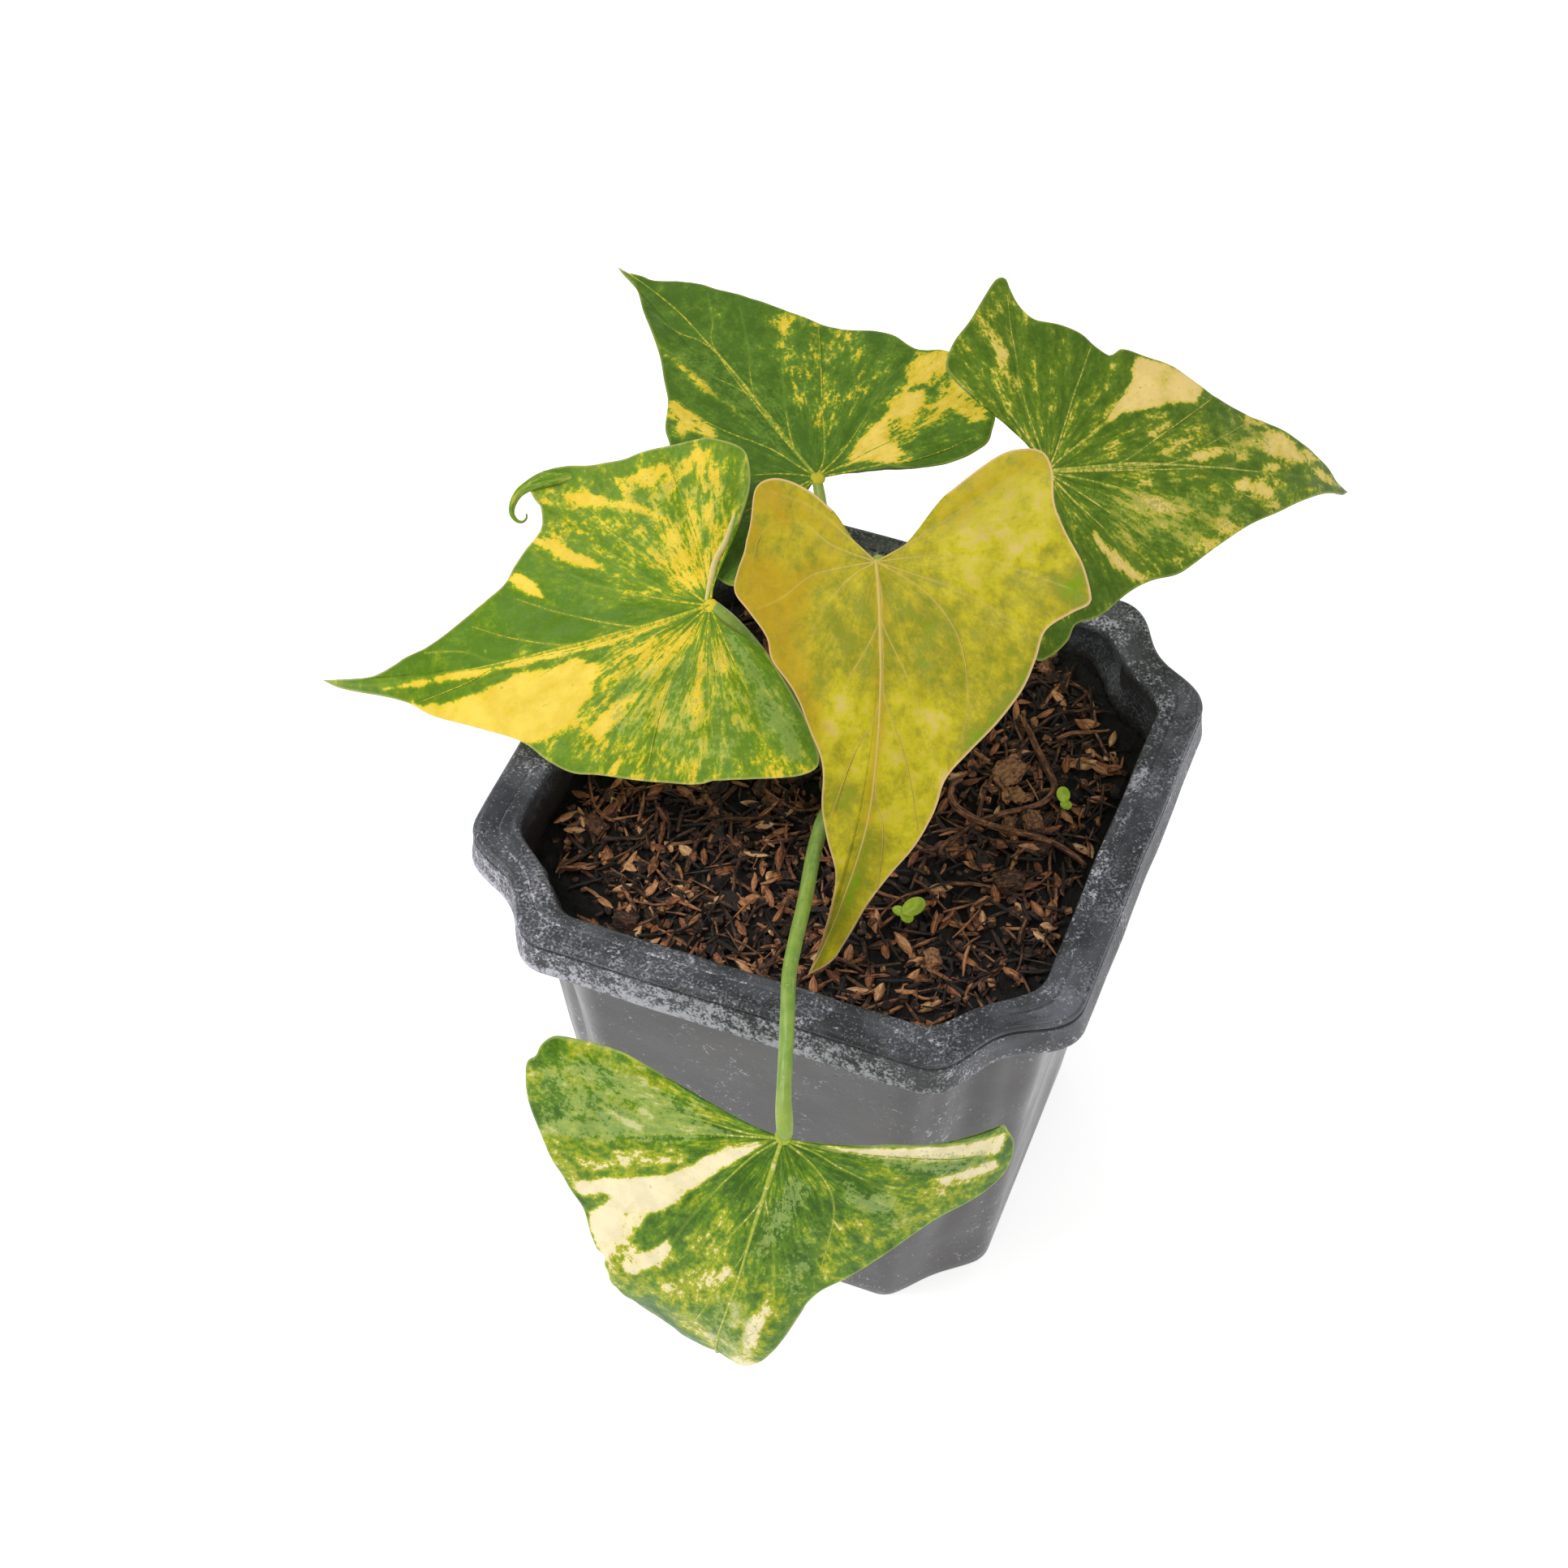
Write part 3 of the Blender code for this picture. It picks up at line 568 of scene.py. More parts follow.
    def sheet(self, columns, shares):
        """Flat points of the blade and the height of their waves, ring by ring."""
        bearing, reach = self.margin(columns)
        pull = np.where(bearing >= 0, *self.sinus) * (np.degrees(bearing) / self.widest) ** 2
        phase = 2 * pi * 30 / 31 * np.linspace(0, 1, len(bearing))
        wave = np.sin(5 * phase + self.heading) + 0.6 * np.sin(9 * phase + self.dip)
        flat, lift = [], []
        for share in shares:
            turned = bearing * (1 - pull * (1 - share) ** 2)
            flat.append(reach[:, None] * share * np.stack([np.cos(turned), np.sin(turned)], 1))
            lift.append(0.7 * self.waves * share ** 3 * wave)
        return np.concatenate(flat), np.concatenate(lift)

    def relief(self, flat, gap):
        """How far the tissue stands above or below the smooth sheet."""
        swell = np.array([noise.noise((u / 9, v / 9, self.heading)) * 0.45
                          + noise.noise((u / 3, v / 3, self.heading + 5)) * 0.16 for u, v in flat])
        calm = np.clip(np.hypot(flat[:, 0], flat[:, 1]) / 8, 0, 1)
        return (swell - 0.4 * np.exp(-(gap / 2.2) ** 2)) * calm

    def level(self, flat, base, patches):
        """The pattern's level at flat points, from the base and its patches."""
        found = np.full(len(flat), float(base))
        for height, width, corners in patches:
            share = np.clip(0.5 + inside_by(flat, corners) / width, 0, 1)
            found += (height - found) * share * share * (3 - 2 * share)
        return found


def side_angle(v, fold, start, turn):
    """How many degrees a blade's half leans down at v from the midrib."""
    return fold * (1 - exp(-v / 6.0)) + turn * max(0.0, v - start) / 10


LEAVES = [
    Leaf(
        name="left", joint=(-37, 8, 175), heading=199, dip=6, roll=-22, arch=3.0, curl_from=60,
        curl=3.0, left=(10, 60, 0), right=(-8, 60, 0), sway=9, waves=1.0,
        outline=[(-13, 11.5), (-18, 20), (-23, 30), (-25, 38), (-22, 41), (-14, 42), (0, 42), (5, 41),
                 (12, 38), (20, 35), (28, 32), (35, 30), (41, 26), (48, 20), (60, 15), (72, 11),
                 (80, 7), (90, 4.5), (105, 2.5), (113, 0.5), (95, 0), (88, -1), (80, -4), (70, -8),
                 (60, -14), (51, -18.8), (48, -22.4), (44.4, -26.4), (41.6, -28.8), (40.4, -31.2),
                 (40.4, -34), (40.8, -36.4), (42, -38), (43.4, -41), (42.4, -43.4), (40, -44.8),
                 (37.6, -45.2), (33.6, -44.8), (28.8, -43.6), (24.8, -43.2), (20, -42.8),
                 (13.6, -43.2), (0, -41), (-8, -38), (-10, -34), (-10, -28), (-7.3, -20)],
        stalk=[(-4.5, 5, 132), (-14, 6, 150), (-27, 8, 166), (-35.3, 8.5, 172.8)],
        slot="leaf_variegated",
        veins=[[(30, -0.5), (60, 0.5), (90, 2), (111, 0.8)],
               [(-4, 10), (-9, 22), (-14, 36)], [(1, 15), (0, 30), (-2, 40)],
               [(6, 8), (12, 20), (16, 33)], [(12, 6), (28, 14), (44, 20)],
               [(-2, -12), (-7, -24), (-8, -34)], [(2, -14), (6, -28), (10, -40)],
               [(8, -9), (18, -20), (30, -32), (36, -38)], [(12, -6), (28, -14), (43, -25)],
               [(15, 0), (25, 4), (35, 9), (50, 14)], [(15, 0), (32, -7), (48, -15)],
               [(30, 0), (40, 4.5), (50, 8), (62, 12)], [(30, 0), (48, -5), (60, -10)],
               [(48, 0.4), (62, 4), (76, 7)], [(48, 0.4), (62, -4), (74, -5)]],
        base=-0.75,
        patches=[
            (-0.3, 8, [(-6, -8), (10, -4), (30, -14), (44, -26), (44, -44), (5, -44), (-10, -36)]),
            (-0.25, 8, [(2, 3), (30, 4), (44, 22), (25, 36), (0, 44), (-25, 42), (-14, 16)]),
            (-0.5, 6, [(-4, 8), (-14, 14), (-24, 36), (-12, 40), (-10, 25)]),
            (-0.95, 3, [(18, -2), (60, -3), (88, -1), (70, -8), (52, -17), (40, -12), (25, -7)]),
            (1.0, 2.5, [(27, 7), (30, 13), (36, 18), (42, 21), (49, 20), (60, 16), (72, 12), (82, 7),
                        (74, 8), (66, 8), (56, 6), (48, 4), (38, 4), (32, 3)]),
            (0.6, 1.5, [(8, 0.5), (20, 2), (35, 1.2), (50, 2), (70, 3), (88, 3), (70, 1), (50, 0.5),
                        (35, -0.6), (15, -0.5)]),
            (0.8, 2, [(17, 15), (22, 20), (28, 24), (29, 21), (24, 16)]),
            (0.12, 4, [(-1, -5), (-4, -14), (-5, -24), (-3, -34), (2, -35), (5, -28), (8, -22), (18, -24),
                      (14, -14), (6, -5)]),
            (0.3, 3, [(-2, -39), (10, -39), (22, -38), (20, -34), (8, -33), (-2, -35)]),
            (0.7, 1.5, [(25, -17), (32, -19), (38, -24), (43, -28), (38, -27), (31, -22)]),
            (0.8, 1.5, [(41, -14), (45, -15), (50, -20), (47, -21), (42, -17)]),
            (0.6, 2, [(10, -24), (20, -31), (30, -34), (38, -40), (28, -36), (16, -30)]),
            (0.15, 4, [(3, 4), (8, 12), (14, 13), (26, 10), (22, 3)]),
            (0.08, 3, [(-2, 6), (-2, 20), (2, 38), (7, 36), (5, 20), (3, 8)])],
        # Silvery tint patches: painted sheen; the narrow band along the notch edge of the blade's left lobe
        # is a painted highlight where that edge curls down.
        tints_and_sheen=[(0.4, 6, [(-20, 30), (-2, 8), (22, 8), (26, 22), (0, 40)]),
               (0.75, 4, [(-3, 4), (-9, 12), (-19, 28), (-22, 38), (-18, 38), (-12, 22), (-4, 9)]),
               (0.3, 6, [(0, -10), (20, -18), (26, -34), (8, -40), (-6, -30)])],
        colours=[paint(88, 128, 12), paint(120, 150, 20), paint(176, 184, 24), paint(240, 206, 48),
                 paint(248, 216, 84)],
        tint_and_sheen_colour=paint(150, 172, 84), vein_colour=paint(178, 188, 60),
        margin_colour=paint(226, 208, 140)),
    Leaf(
        name="back_left", joint=(-27, 53, 179), heading=140, dip=-2, roll=-6, arch=1.0, curl_from=70,
        curl=1.0, left=(-4, 60, 0), right=(-4, 60, 0), sway=2, waves=1.0,
        outline=[(-11, 12), (-18, 20), (-21, 29), (-19, 34), (-13, 36), (-6, 35.5), (5, 33), (18, 29),
                 (28, 24), (34, 22), (42, 17), (50, 14), (60, 10.5), (75, 7.5), (85, 5), (92, 4.9),
                 (98.5, 5.3), (95, 4.3), (90, 1.5), (86, -0.5), (81, -6), (76, -10), (70, -13), (63, -17),
                 (55, -22), (45, -28), (38, -32), (33, -37), (28, -40), (21, -42), (16.5, -47),
                 (9, -50), (0, -49), (-7, -46.3), (-11, -43), (-14, -39), (-14, -30), (-11.5, -22),
                 (-6.5, -16)],
        stalk=[(-1, 10.5, 132), (-9, 24, 152), (-20, 42, 169), (-26.2, 51.8, 177.2)],
        slot="leaf_green",
        veins=[[(20, -1), (40, -2), (55, -1.5), (75, 0), (97, 5)],
               [(5, 5), (9, 12), (14, 22)], [(-3, 9), (-8, 18), (-13, 28)], [(0, 12), (-1, 28)],
               [(14, 4), (30, 12), (42, 15)],
               [(6, -6), (20, -14), (34, -22), (44, -27)], [(4, -10), (10, -20), (16, -28), (19, -37)],
               [(0, -12), (0, -25), (2, -42)], [(-4, -12), (-9, -24), (-11, -38)],
               [(12, -1), (30, -9), (48, -19)], [(30, -1.6), (48, -9), (62, -14)],
               [(30, -1.6), (46, 4), (60, 9)], [(50, -1.6), (64, 3), (76, 6)],
               [(50, -1.6), (62, -6), (73, -10)]],
        base=-0.8,
        patches=[
            (0.05, 4, [(0, -8), (-7, -18), (-9, -30), (-10, -44), (16, -48), (20, -42), (14, -32),
                       (8, -22), (4, -12)]),
            (1.0, 2.5, [(0, -10), (-6, -18), (-5, -21), (2, -20), (6, -24), (4, -30), (8, -36),
                        (10, -32), (8, -26), (4, -16), (1, -10)]),
            (0.5, 3, [(12, -30), (18, -38), (17, -47), (12, -46), (10, -38)]),
            (-0.7, 3, [(-8, -22), (-3, -22), (-3, -38), (-12, -42), (-13, -30)]),
            (0.25, 3, [(16, 2.5), (30, 5.5), (45, 8.5), (58, 10), (48, 6), (35, 4.5)]),
            (0.1, 3, [(28, 21), (36, 20), (45, 16), (40, 14), (26, 12), (22, 14), (28, 17)]),
            (-0.28, 6, [(8, -7), (30, -10), (50, -18), (56, -23), (40, -33), (26, -34), (12, -20)])],
        # Silvery tint patch along the midrib: painted sheen.
        tints_and_sheen=[(0.5, 5, [(10, 4), (40, 8), (60, 8), (50, -4), (20, -8)])],
        colours=[paint(76, 110, 28), paint(98, 132, 38), paint(152, 168, 44), paint(228, 200, 52),
                 paint(248, 216, 104)],
        tint_and_sheen_colour=paint(110, 142, 52), vein_colour=paint(146, 172, 62),
        margin_colour=paint(176, 184, 86), girth=0.7),
    Leaf(
        name="right", joint=(29, 57, 197), heading=37, dip=10, roll=26, arch=3.0, curl_from=70,
        curl=5.0, left=(8, 60, 0), right=(14, 60, 0), sway=-1, waves=1.0,
        outline=[(-14, 22), (-18, 28), (-18, 31), (-15, 36), (-10, 41), (-5, 47), (0, 52.5), (2.8, 53),
                 (3.4, 50), (5, 45), (8, 41.5), (14, 40), (19, 37.5), (24, 32), (26, 31.5), (29, 33),
                 (34, 31.5), (42, 28), (50, 23), (60, 18), (70, 14), (78, 10), (86, 5), (92, 0.5),
                 (97.5, -1.5), (93, -3), (85, -3.5), (75, -6), (65, -9.5), (55, -13), (45, -18), (38, -22),
                 (32, -25), (24, -26.5), (18, -29), (10, -34), (3, -36), (0, -40), (-5, -43.5),
                 (-9, -43.5), (-12.5, -35.5), (-10.5, -23.5), (-6.6, -13.5)],
        stalk=[(5.5, 10.5, 132), (12, 25, 161), (22, 45, 185), (27.8, 55.7, 194.4)],
        slot="leaf_green",
        veins=[[(2, 0.5), (15, 1.5), (25, 2), (45, 1.3), (62, 0.5), (90, -0.5), (96, -1.4)],
               [(0, 5), (-1, 20), (0, 33), (2, 48)], [(-2, 8), (-8, 22), (-13, 34)],
               [(4, 6), (12, 20), (21, 34)], [(5, 4), (20, 14), (35, 29)],
               [(5, -6), (14, -15), (21, -26)], [(6, -4), (22, -14), (40, -20)],
               [(10, -2), (35, -8), (56, -12)], [(-3, -10), (-6, -24), (-6, -40)],
               [(1, -10), (3, -22), (6, -33)], [(18, 1.6), (34, 10), (52, 20)],
               [(32, 1.8), (48, 8), (64, 15)], [(46, 1.2), (60, 6), (76, 9)],
               [(38, 1.6), (54, -5), (68, -8)]],
        base=-0.5,
        patches=[
            (-0.75, 5, [(4, 14), (8, 40), (20, 38), (24, 32), (14, 24)]),
            (-0.3, 6, [(10, 4), (30, 4), (60, 3), (88, 1), (80, 9), (60, 15), (46, 15), (25, 10)]),
            (0.15, 3, [(-6, 14), (-3, 22), (-2, 34), (-5, 38), (-8, 26)]),
            (-0.12, 6, [(16, -3), (80, -2), (55, -13), (40, -20), (22, -26), (15, -16)]),
            (-0.7, 4, [(2, -10), (8, -20), (10, -34), (-6, -43), (0, -34), (6, -28)]),
            (1.0, 2, [(33, 31), (42, 28), (50, 23), (47, 18.5), (40, 18.5), (34, 17), (28, 16),
                      (22, 15.5), (26, 20), (29, 24), (31, 29)]),
            (0.6, 2, [(6, 5), (14, 10), (22, 16), (27, 21), (29, 20), (22, 14), (12, 8)]),
            (0.7, 2.5, [(36, 3), (45, 6), (50, 7), (50, 5), (44, 3)]),
            (0.45, 3, [(58, 8), (69, 12), (74, 11), (84, 5), (76, 3.5), (68, 5)]),
            (0.45, 4, [(50, -3), (60, -6), (66, -7), (62, -4), (55, -2)]),
            (0.45, 3, [(18, -4), (26, -9), (34, -11), (28, -6)]),
            (0.6, 2, [(10, -14), (14, -19), (20, -23), (23, -26), (20, -26), (14, -22), (10, -17)]),
            (0.4, 2, [(82, 3), (90, 1), (94, -1), (86, -1), (80, 1)])],
        # Silvery tint patches: painted sheen.
        tints_and_sheen=[(0.5, 6, [(8, -4), (40, -4), (60, -8), (40, -18), (18, -20)]),
               (0.5, 5, [(50, 18), (70, 10), (60, 4), (45, 8)])],
        colours=[paint(76, 108, 22), paint(104, 132, 34), paint(164, 172, 44), paint(226, 204, 92),
                 paint(248, 218, 136)],
        tint_and_sheen_colour=paint(124, 150, 56), vein_colour=paint(160, 180, 74),
        margin_colour=paint(190, 190, 100)),
    Leaf(
        name="young", joint=(3, 11, 202), heading=-84, dip=40, roll=4, arch=2.0, curl_from=80,
        curl=2.0, left=(-4, 60, 0), right=(24, 60, 0), sway=7, waves=1.0,
        outline=[(-18, 12.8), (-28, 22), (-31, 28), (-31, 33), (-27, 36), (-20, 38), (-14, 42),
                 (-8, 47), (-2, 50), (0.5, 50), (3, 46), (8, 39.5), (15, 37), (22, 34), (30, 29),
                 (38, 23), (45, 18.5), (53, 17), (62, 14), (70, 10), (78, 7), (88, 5), (94, 3.5),
                 (99, -0.5), (93, -0.3), (88, -0.5), (78, -1.2), (72, -2.5), (65, -6.5), (58, -9.5),
                 (48, -11), (40, -16), (33, -21), (27, -28), (22, -30), (17, -36), (13, -40.5),
                 (8, -40), (2, -37.5), (-4, -36.5), (-12, -37), (-15, -33), (-15, -27), (-13, -20),
                 (-10, -14)],
        stalk=[(7.5, 4, 132), (9, 8, 156), (6.5, 13, 182), (3.4, 13, 199.2)],
        slot="leaf_young",
        veins=[[(20, 0.5), (40, 1.3), (60, 2), (80, 1), (97, 0.2)],
               [(2, 6), (5, 12), (10, 17), (16, 20), (26, 21.5), (36, 21)],
               [(-2, 6), (-4, 14), (-5, 26), (-4, 34), (-2, 46)],
               [(-5, 6), (-14, 16), (-27, 30)], [(1, 8), (3, 20), (8, 34)],
               [(4, -6), (10, -12), (16, -16), (24, -18), (34, -18)],
               [(3, -10), (6, -18), (12, -26), (16, -34)],
               [(-2, -12), (-6, -22), (-4, -31), (4, -35)], [(-5, -9), (-10, -20), (-12, -32)],
               [(12, 0.4), (26, 8), (42, 16)], [(26, 0.8), (42, 8), (58, 14)],
               [(12, 0.4), (28, -7), (44, -12)], [(30, 1), (44, -4), (60, -7)],
               [(46, 1.6), (60, 6), (74, 8)]],
        base=-0.05,
        patches=[
            (-0.3, 16, [(3, 0), (10, -9), (15, -15), (22, -15), (33, -12), (26, -6), (29, 2), (29, 16),
                        (19, 23), (5, 16), (3, 2)]),
            (0.42, 20, [(-10, 12), (-24, 22), (-28, 32), (-12, 44), (2, 34), (4, 22), (-4, 12)]),
            (-0.15, 10, [(-4, 34), (-7, 46), (-1, 50), (4, 41), (3, 29)]),
            (-0.9, 5, [(-3, 42), (-6, 48), (0, 50), (2, 44)]),
            (-0.9, 8, [(36, 22), (26, 30), (13, 38), (14, 40), (30, 31), (38, 24)]),
            (0.22, 26, [(30, 18), (60, 17), (80, 10), (99, 2), (84, -4), (60, -10), (46, -13),
                        (34, -12), (30, 0)]),
            (0.5, 9, [(36, 1), (36, 5), (46, 6), (49, 2)]),
            (0.5, 9, [(30, 8), (28, 17), (34, 16), (36, 11)]),
            (0.5, 7, [(37, -13), (28, -9), (35, -5), (41, -10)]),
            (-0.5, 8, [(52, -7), (60, -8), (58, -1), (50, -1)]),
            (-0.5, 7, [(60, 6), (75, 5), (75, 1), (60, 1)]),
            (-0.6, 4, [(66, 3.5), (80, 3.5), (97, 1), (92, 0), (76, 0.5)]),
            (1.0, 1.5, [(43, 18), (46, 20), (47, 16)])],
        tints_and_sheen=[(0.85, 14, [(-16, -38), (14, -42), (26, -32), (42, -18), (48, -13), (36, -13), (22, -20),
                           (10, -18), (2, -10), (-6, -10), (-12, -22)]),
               (0.3, 10, [(-9, -34), (2, -33), (6, -24), (2, -10), (-6, -12), (-10, -24)]),
               (0.9, 5, [(-13, -34), (-13, -31), (-6, -25), (-5, -27), (-9, -32)]),
               (0.6, 10, [(-33, 32), (-24, 18), (-14, 11), (-10, 14), (-22, 26), (-29, 36)]),
               (0.6, 3, [(6, 1.6), (30, 2.4), (60, 3.4), (60, 0.4), (30, -0.6), (6, -1.0)])],
        colours=[paint(120, 150, 8), paint(144, 144, 30), paint(168, 158, 30), paint(196, 184, 26),
                 paint(212, 188, 104)],
        tint_and_sheen_colour=paint(180, 144, 12), vein_colour=paint(208, 184, 100),
        margin_colour=paint(228, 186, 140), soft_tint=True, knot=0.4,
        stops=(0.0, 0.3, 0.45, 0.66, 0.95)),
    Leaf(
        name="front", joint=(26, -108, 147), heading=-106, dip=60, roll=-15, arch=3.0, curl_from=50,
        curl=10.0, left=(24, 8, 8), right=(8, 60, 0), sway=0, waves=1.5, sinus=(0.0, 0.15),
        outline=[(-1, 8.4), (-0.8, 13), (-3.2, 19), (-4.5, 24), (-5, 30), (-5.2, 41), (-4.8, 49),
                 (-5.2, 51.5), (-7.4, 53.2), (-5.2, 56), (-2.4, 59.6), (1.2, 62), (5.6, 62.6), (9.2, 61.4),
                 (12, 57.5), (15, 50.5), (18, 44), (24, 37), (30, 31), (36, 25), (40, 20.5), (45, 17.8),
                 (49, 17), (59, 15), (68, 12), (74, 9), (82, 5), (94, 0), (90, -8), (84, -16), (74, -22),
                 (66, -25.6), (64.8, -27.4), (61, -28.6), (58.6, -30), (55.8, -30.6), (56.2, -33),
                 (52.8, -35.8), (47, -39), (43, -43.6), (36, -50), (30, -55), (24, -58.6), (18, -60.6),
                 (13.6, -61.2), (10.8, -59.6), (7.6, -59.2), (4.5, -57), (3, -51), (0.5, -40), (0, -30)],
        stalk=[(1.6, -1.5, 131), (0.8, -13, 138), (3.4, -28, 144), (8.8, -49, 152), (14, -72, 158),
               (18, -84, 159), (21, -93, 156), (24, -102, 152), (26, -106.5, 148.4)],
        slot="leaf_variegated",
        veins=[[(20, 0.5), (40, 1), (50, 0.8), (70, 0), (90, 0)],
               [(4, 8), (10, 14), (18, 17), (32, 18)], [(1, 8), (4, 16), (9, 30), (12, 44)],
               [(-1, 10), (-1, 30), (0, 50)],
               [(8, -5), (20, -10), (32, -14), (44, -17), (60, -22)],
               [(2, -4), (8, -16), (14, -26), (23, -40)], [(3, -8), (6, -20), (10, -36), (12, -50)],
               [(14, 0.3), (28, 6), (44, 10)], [(16, 0.4), (34, -5), (56, -12)],
               [(34, 0.8), (50, 5), (66, 7)], [(30, 0.7), (48, -3), (68, -7)]],
        base=-0.62,
        patches=[
            (-0.22, 6, [(3, -12), (0, -30), (3, -52), (14, -62), (32, -55), (38, -49), (24, -36),
                        (12, -20)]),
            (0.0, 6, [(36, -50), (24, -36), (14, -20), (17, -18), (30, -30), (43, -40), (40, -47)]),
            (0.0, 6, [(4, 26), (4, 55), (8, 62), (13, 52), (21, 37), (11, 26)]),
            (-0.1, 5, [(24, -6), (27, -1), (40, -1), (52, -4), (68, -10), (66, -16), (48, -16), (34, -11)]),
            (-0.12, 6, [(40, -2), (39, 7), (46, 16), (72, 12), (80, 0), (70, -10)]),
            (-0.1, 5, [(44, -14), (58, -18), (70, -22), (62, -29), (52, -34), (46, -26)]),
            (-0.9, 5, [(3, -1), (18, -2), (24, -9), (14, -10), (5, -5)]),
            (-0.2, 6, [(12, 22), (24, 16), (36, 14), (36, 22), (26, 32), (18, 36)]),
            (1.0, 2.2, [(2, -2.4), (8, -10), (14, -15.5), (17, -17), (23, -22), (30, -30), (34, -36),
                        (39, -41), (42, -43), (43, -40), (38, -36), (37, -32), (41, -34), (47, -37.5),
                        (50, -36), (54, -34), (57, -30), (50, -28), (44, -25), (36, -23), (29, -18),
                        (21, -14), (14, -10), (8, -6)]),
            (0.95, 2, [(-1.5, 9), (-2.5, 15), (-3.5, 22), (-4.5, 34), (-4.5, 48), (-5, 55), (0, 57),
                       (0, 46), (0, 34), (-0.5, 25), (-1, 16)]),
            (0.75, 2, [(5, 37), (4, 44), (2, 56), (5, 58), (6, 46), (7, 41)]),
            (0.7, 2, [(15, -42), (15, -38), (14, -31), (16, -30), (17, -37)]),
            (0.5, 3, [(39, 7.5), (46, 8), (58, 7), (72, 4), (80, 2), (84, 8), (72, 11), (66, 10),
                      (58, 9.5), (48, 10), (41, 9.5)]),
            (0.9, 2, [(50, 7), (58, 6), (66, 7), (58, 9.5), (50, 9)]),
            (0.75, 2, [(39, -17), (42, -15.5), (50, -19), (57, -23), (55, -25), (47, -21)])],
        # Silvery tint patches: painted sheen.
        tints_and_sheen=[(0.5, 8, [(3, -14), (2, -30), (4, -50), (14, -60), (30, -54), (24, -38), (12, -20)]),
               (0.8, 4, [(8, -42), (4, -36), (7, -26), (5, -14), (5, -10), (13, -23), (22, -38), (32, -54),
                         (27, -52), (18, -41), (13, -36), (10, -30)]),
               (0.8, 4, [(7, 17), (9, 20), (9, 28), (13, 34), (16, 30), (14, 22), (11, 18)]),
               (0.6, 5, [(8, 5), (10, 9), (16, 9.5), (26, 7), (34, 4), (33, 2), (27, 2), (16, 3)]),
               (0.55, 6, [(44, 2), (52, 8), (70, 9), (78, 4), (66, -3), (50, -3)]),
               (0.65, 4, [(-1, 14), (1, 24), (5, 40), (3, 54), (-2, 50), (-2, 30)]),
               (0.5, 6, [(20, 14), (32, 16), (44, 15), (44, 11), (30, 11)]),
               (0.5, 5, [(14, 38), (18, 38), (22, 32), (18, 28), (13, 32)])],
        colours=[paint(60, 98, 14), paint(98, 136, 26), paint(146, 162, 28), paint(184, 184, 40),
                 paint(236, 222, 160), paint(246, 232, 190)],
        tint_and_sheen_colour=paint(152, 174, 100), vein_colour=paint(180, 196, 74),
        margin_colour=paint(196, 204, 120), stops=(0.0, 0.32, 0.46, 0.62, 0.66, 0.95)),
]

# The left leaf's upper margin ends in a curled horn.
HORN = [(31, -42), (36, -42.6), (40.5, -42.6), (43.6, -41.8), (46, -40.6), (47.6, -38.4), (48, -36),
        (46.9, -34), (45.4, -33.3), (44.3, -33.9), (44.2, -35)]
HORN_RADII = (0.5, 1.3, 2.0, 2.1, 1.7, 1.35, 1.1, 0.85, 0.6, 0.35, 0.2)
# The same margin ends at the joint in a pale fold.
LIP = [(0.8, -1.6), (0, -5.2), (-1.6, -11.2), (-4, -15.6), (-6, -21.2), (-8, -26)]

# Long roots and larger chunks that lie where they can be seen.
ROOTS = [
    [(32.4, 39.2), (37.3, 33.5), (42.4, 26.9), (47.2, 20.3), (46.1, 15.4), (40.5, 10.8), (36.6, 7.7)],
    [(25, 16), (23.6, 13), (25, 9), (28, 6.5), (33.8, 5.7), (40.5, 4.6), (47, 4), (52.5, 4.1), (57.3, 2.4),
     (61.5, 0.4)],
]
CHUNKS = [(35, 23, 8.4, 0.34, 0.95), (45.7, -9.6, 7.0, 0.5, 0.42), (39.1, 16, 4.6, 0.4, 1.0),
          (45.5, 9, 6.0, 0.4, 0.8)]

SEEDLINGS = [
    ("seedling_front", (26.1, -27.8), [(50, 2.7, 24), (185, 1.6, 22), (305, 1.75, 22)]),
    ("seedling_side", (51.0, 16.0), [(117, 1.9, 22), (305, 1.6, 22)]),
]


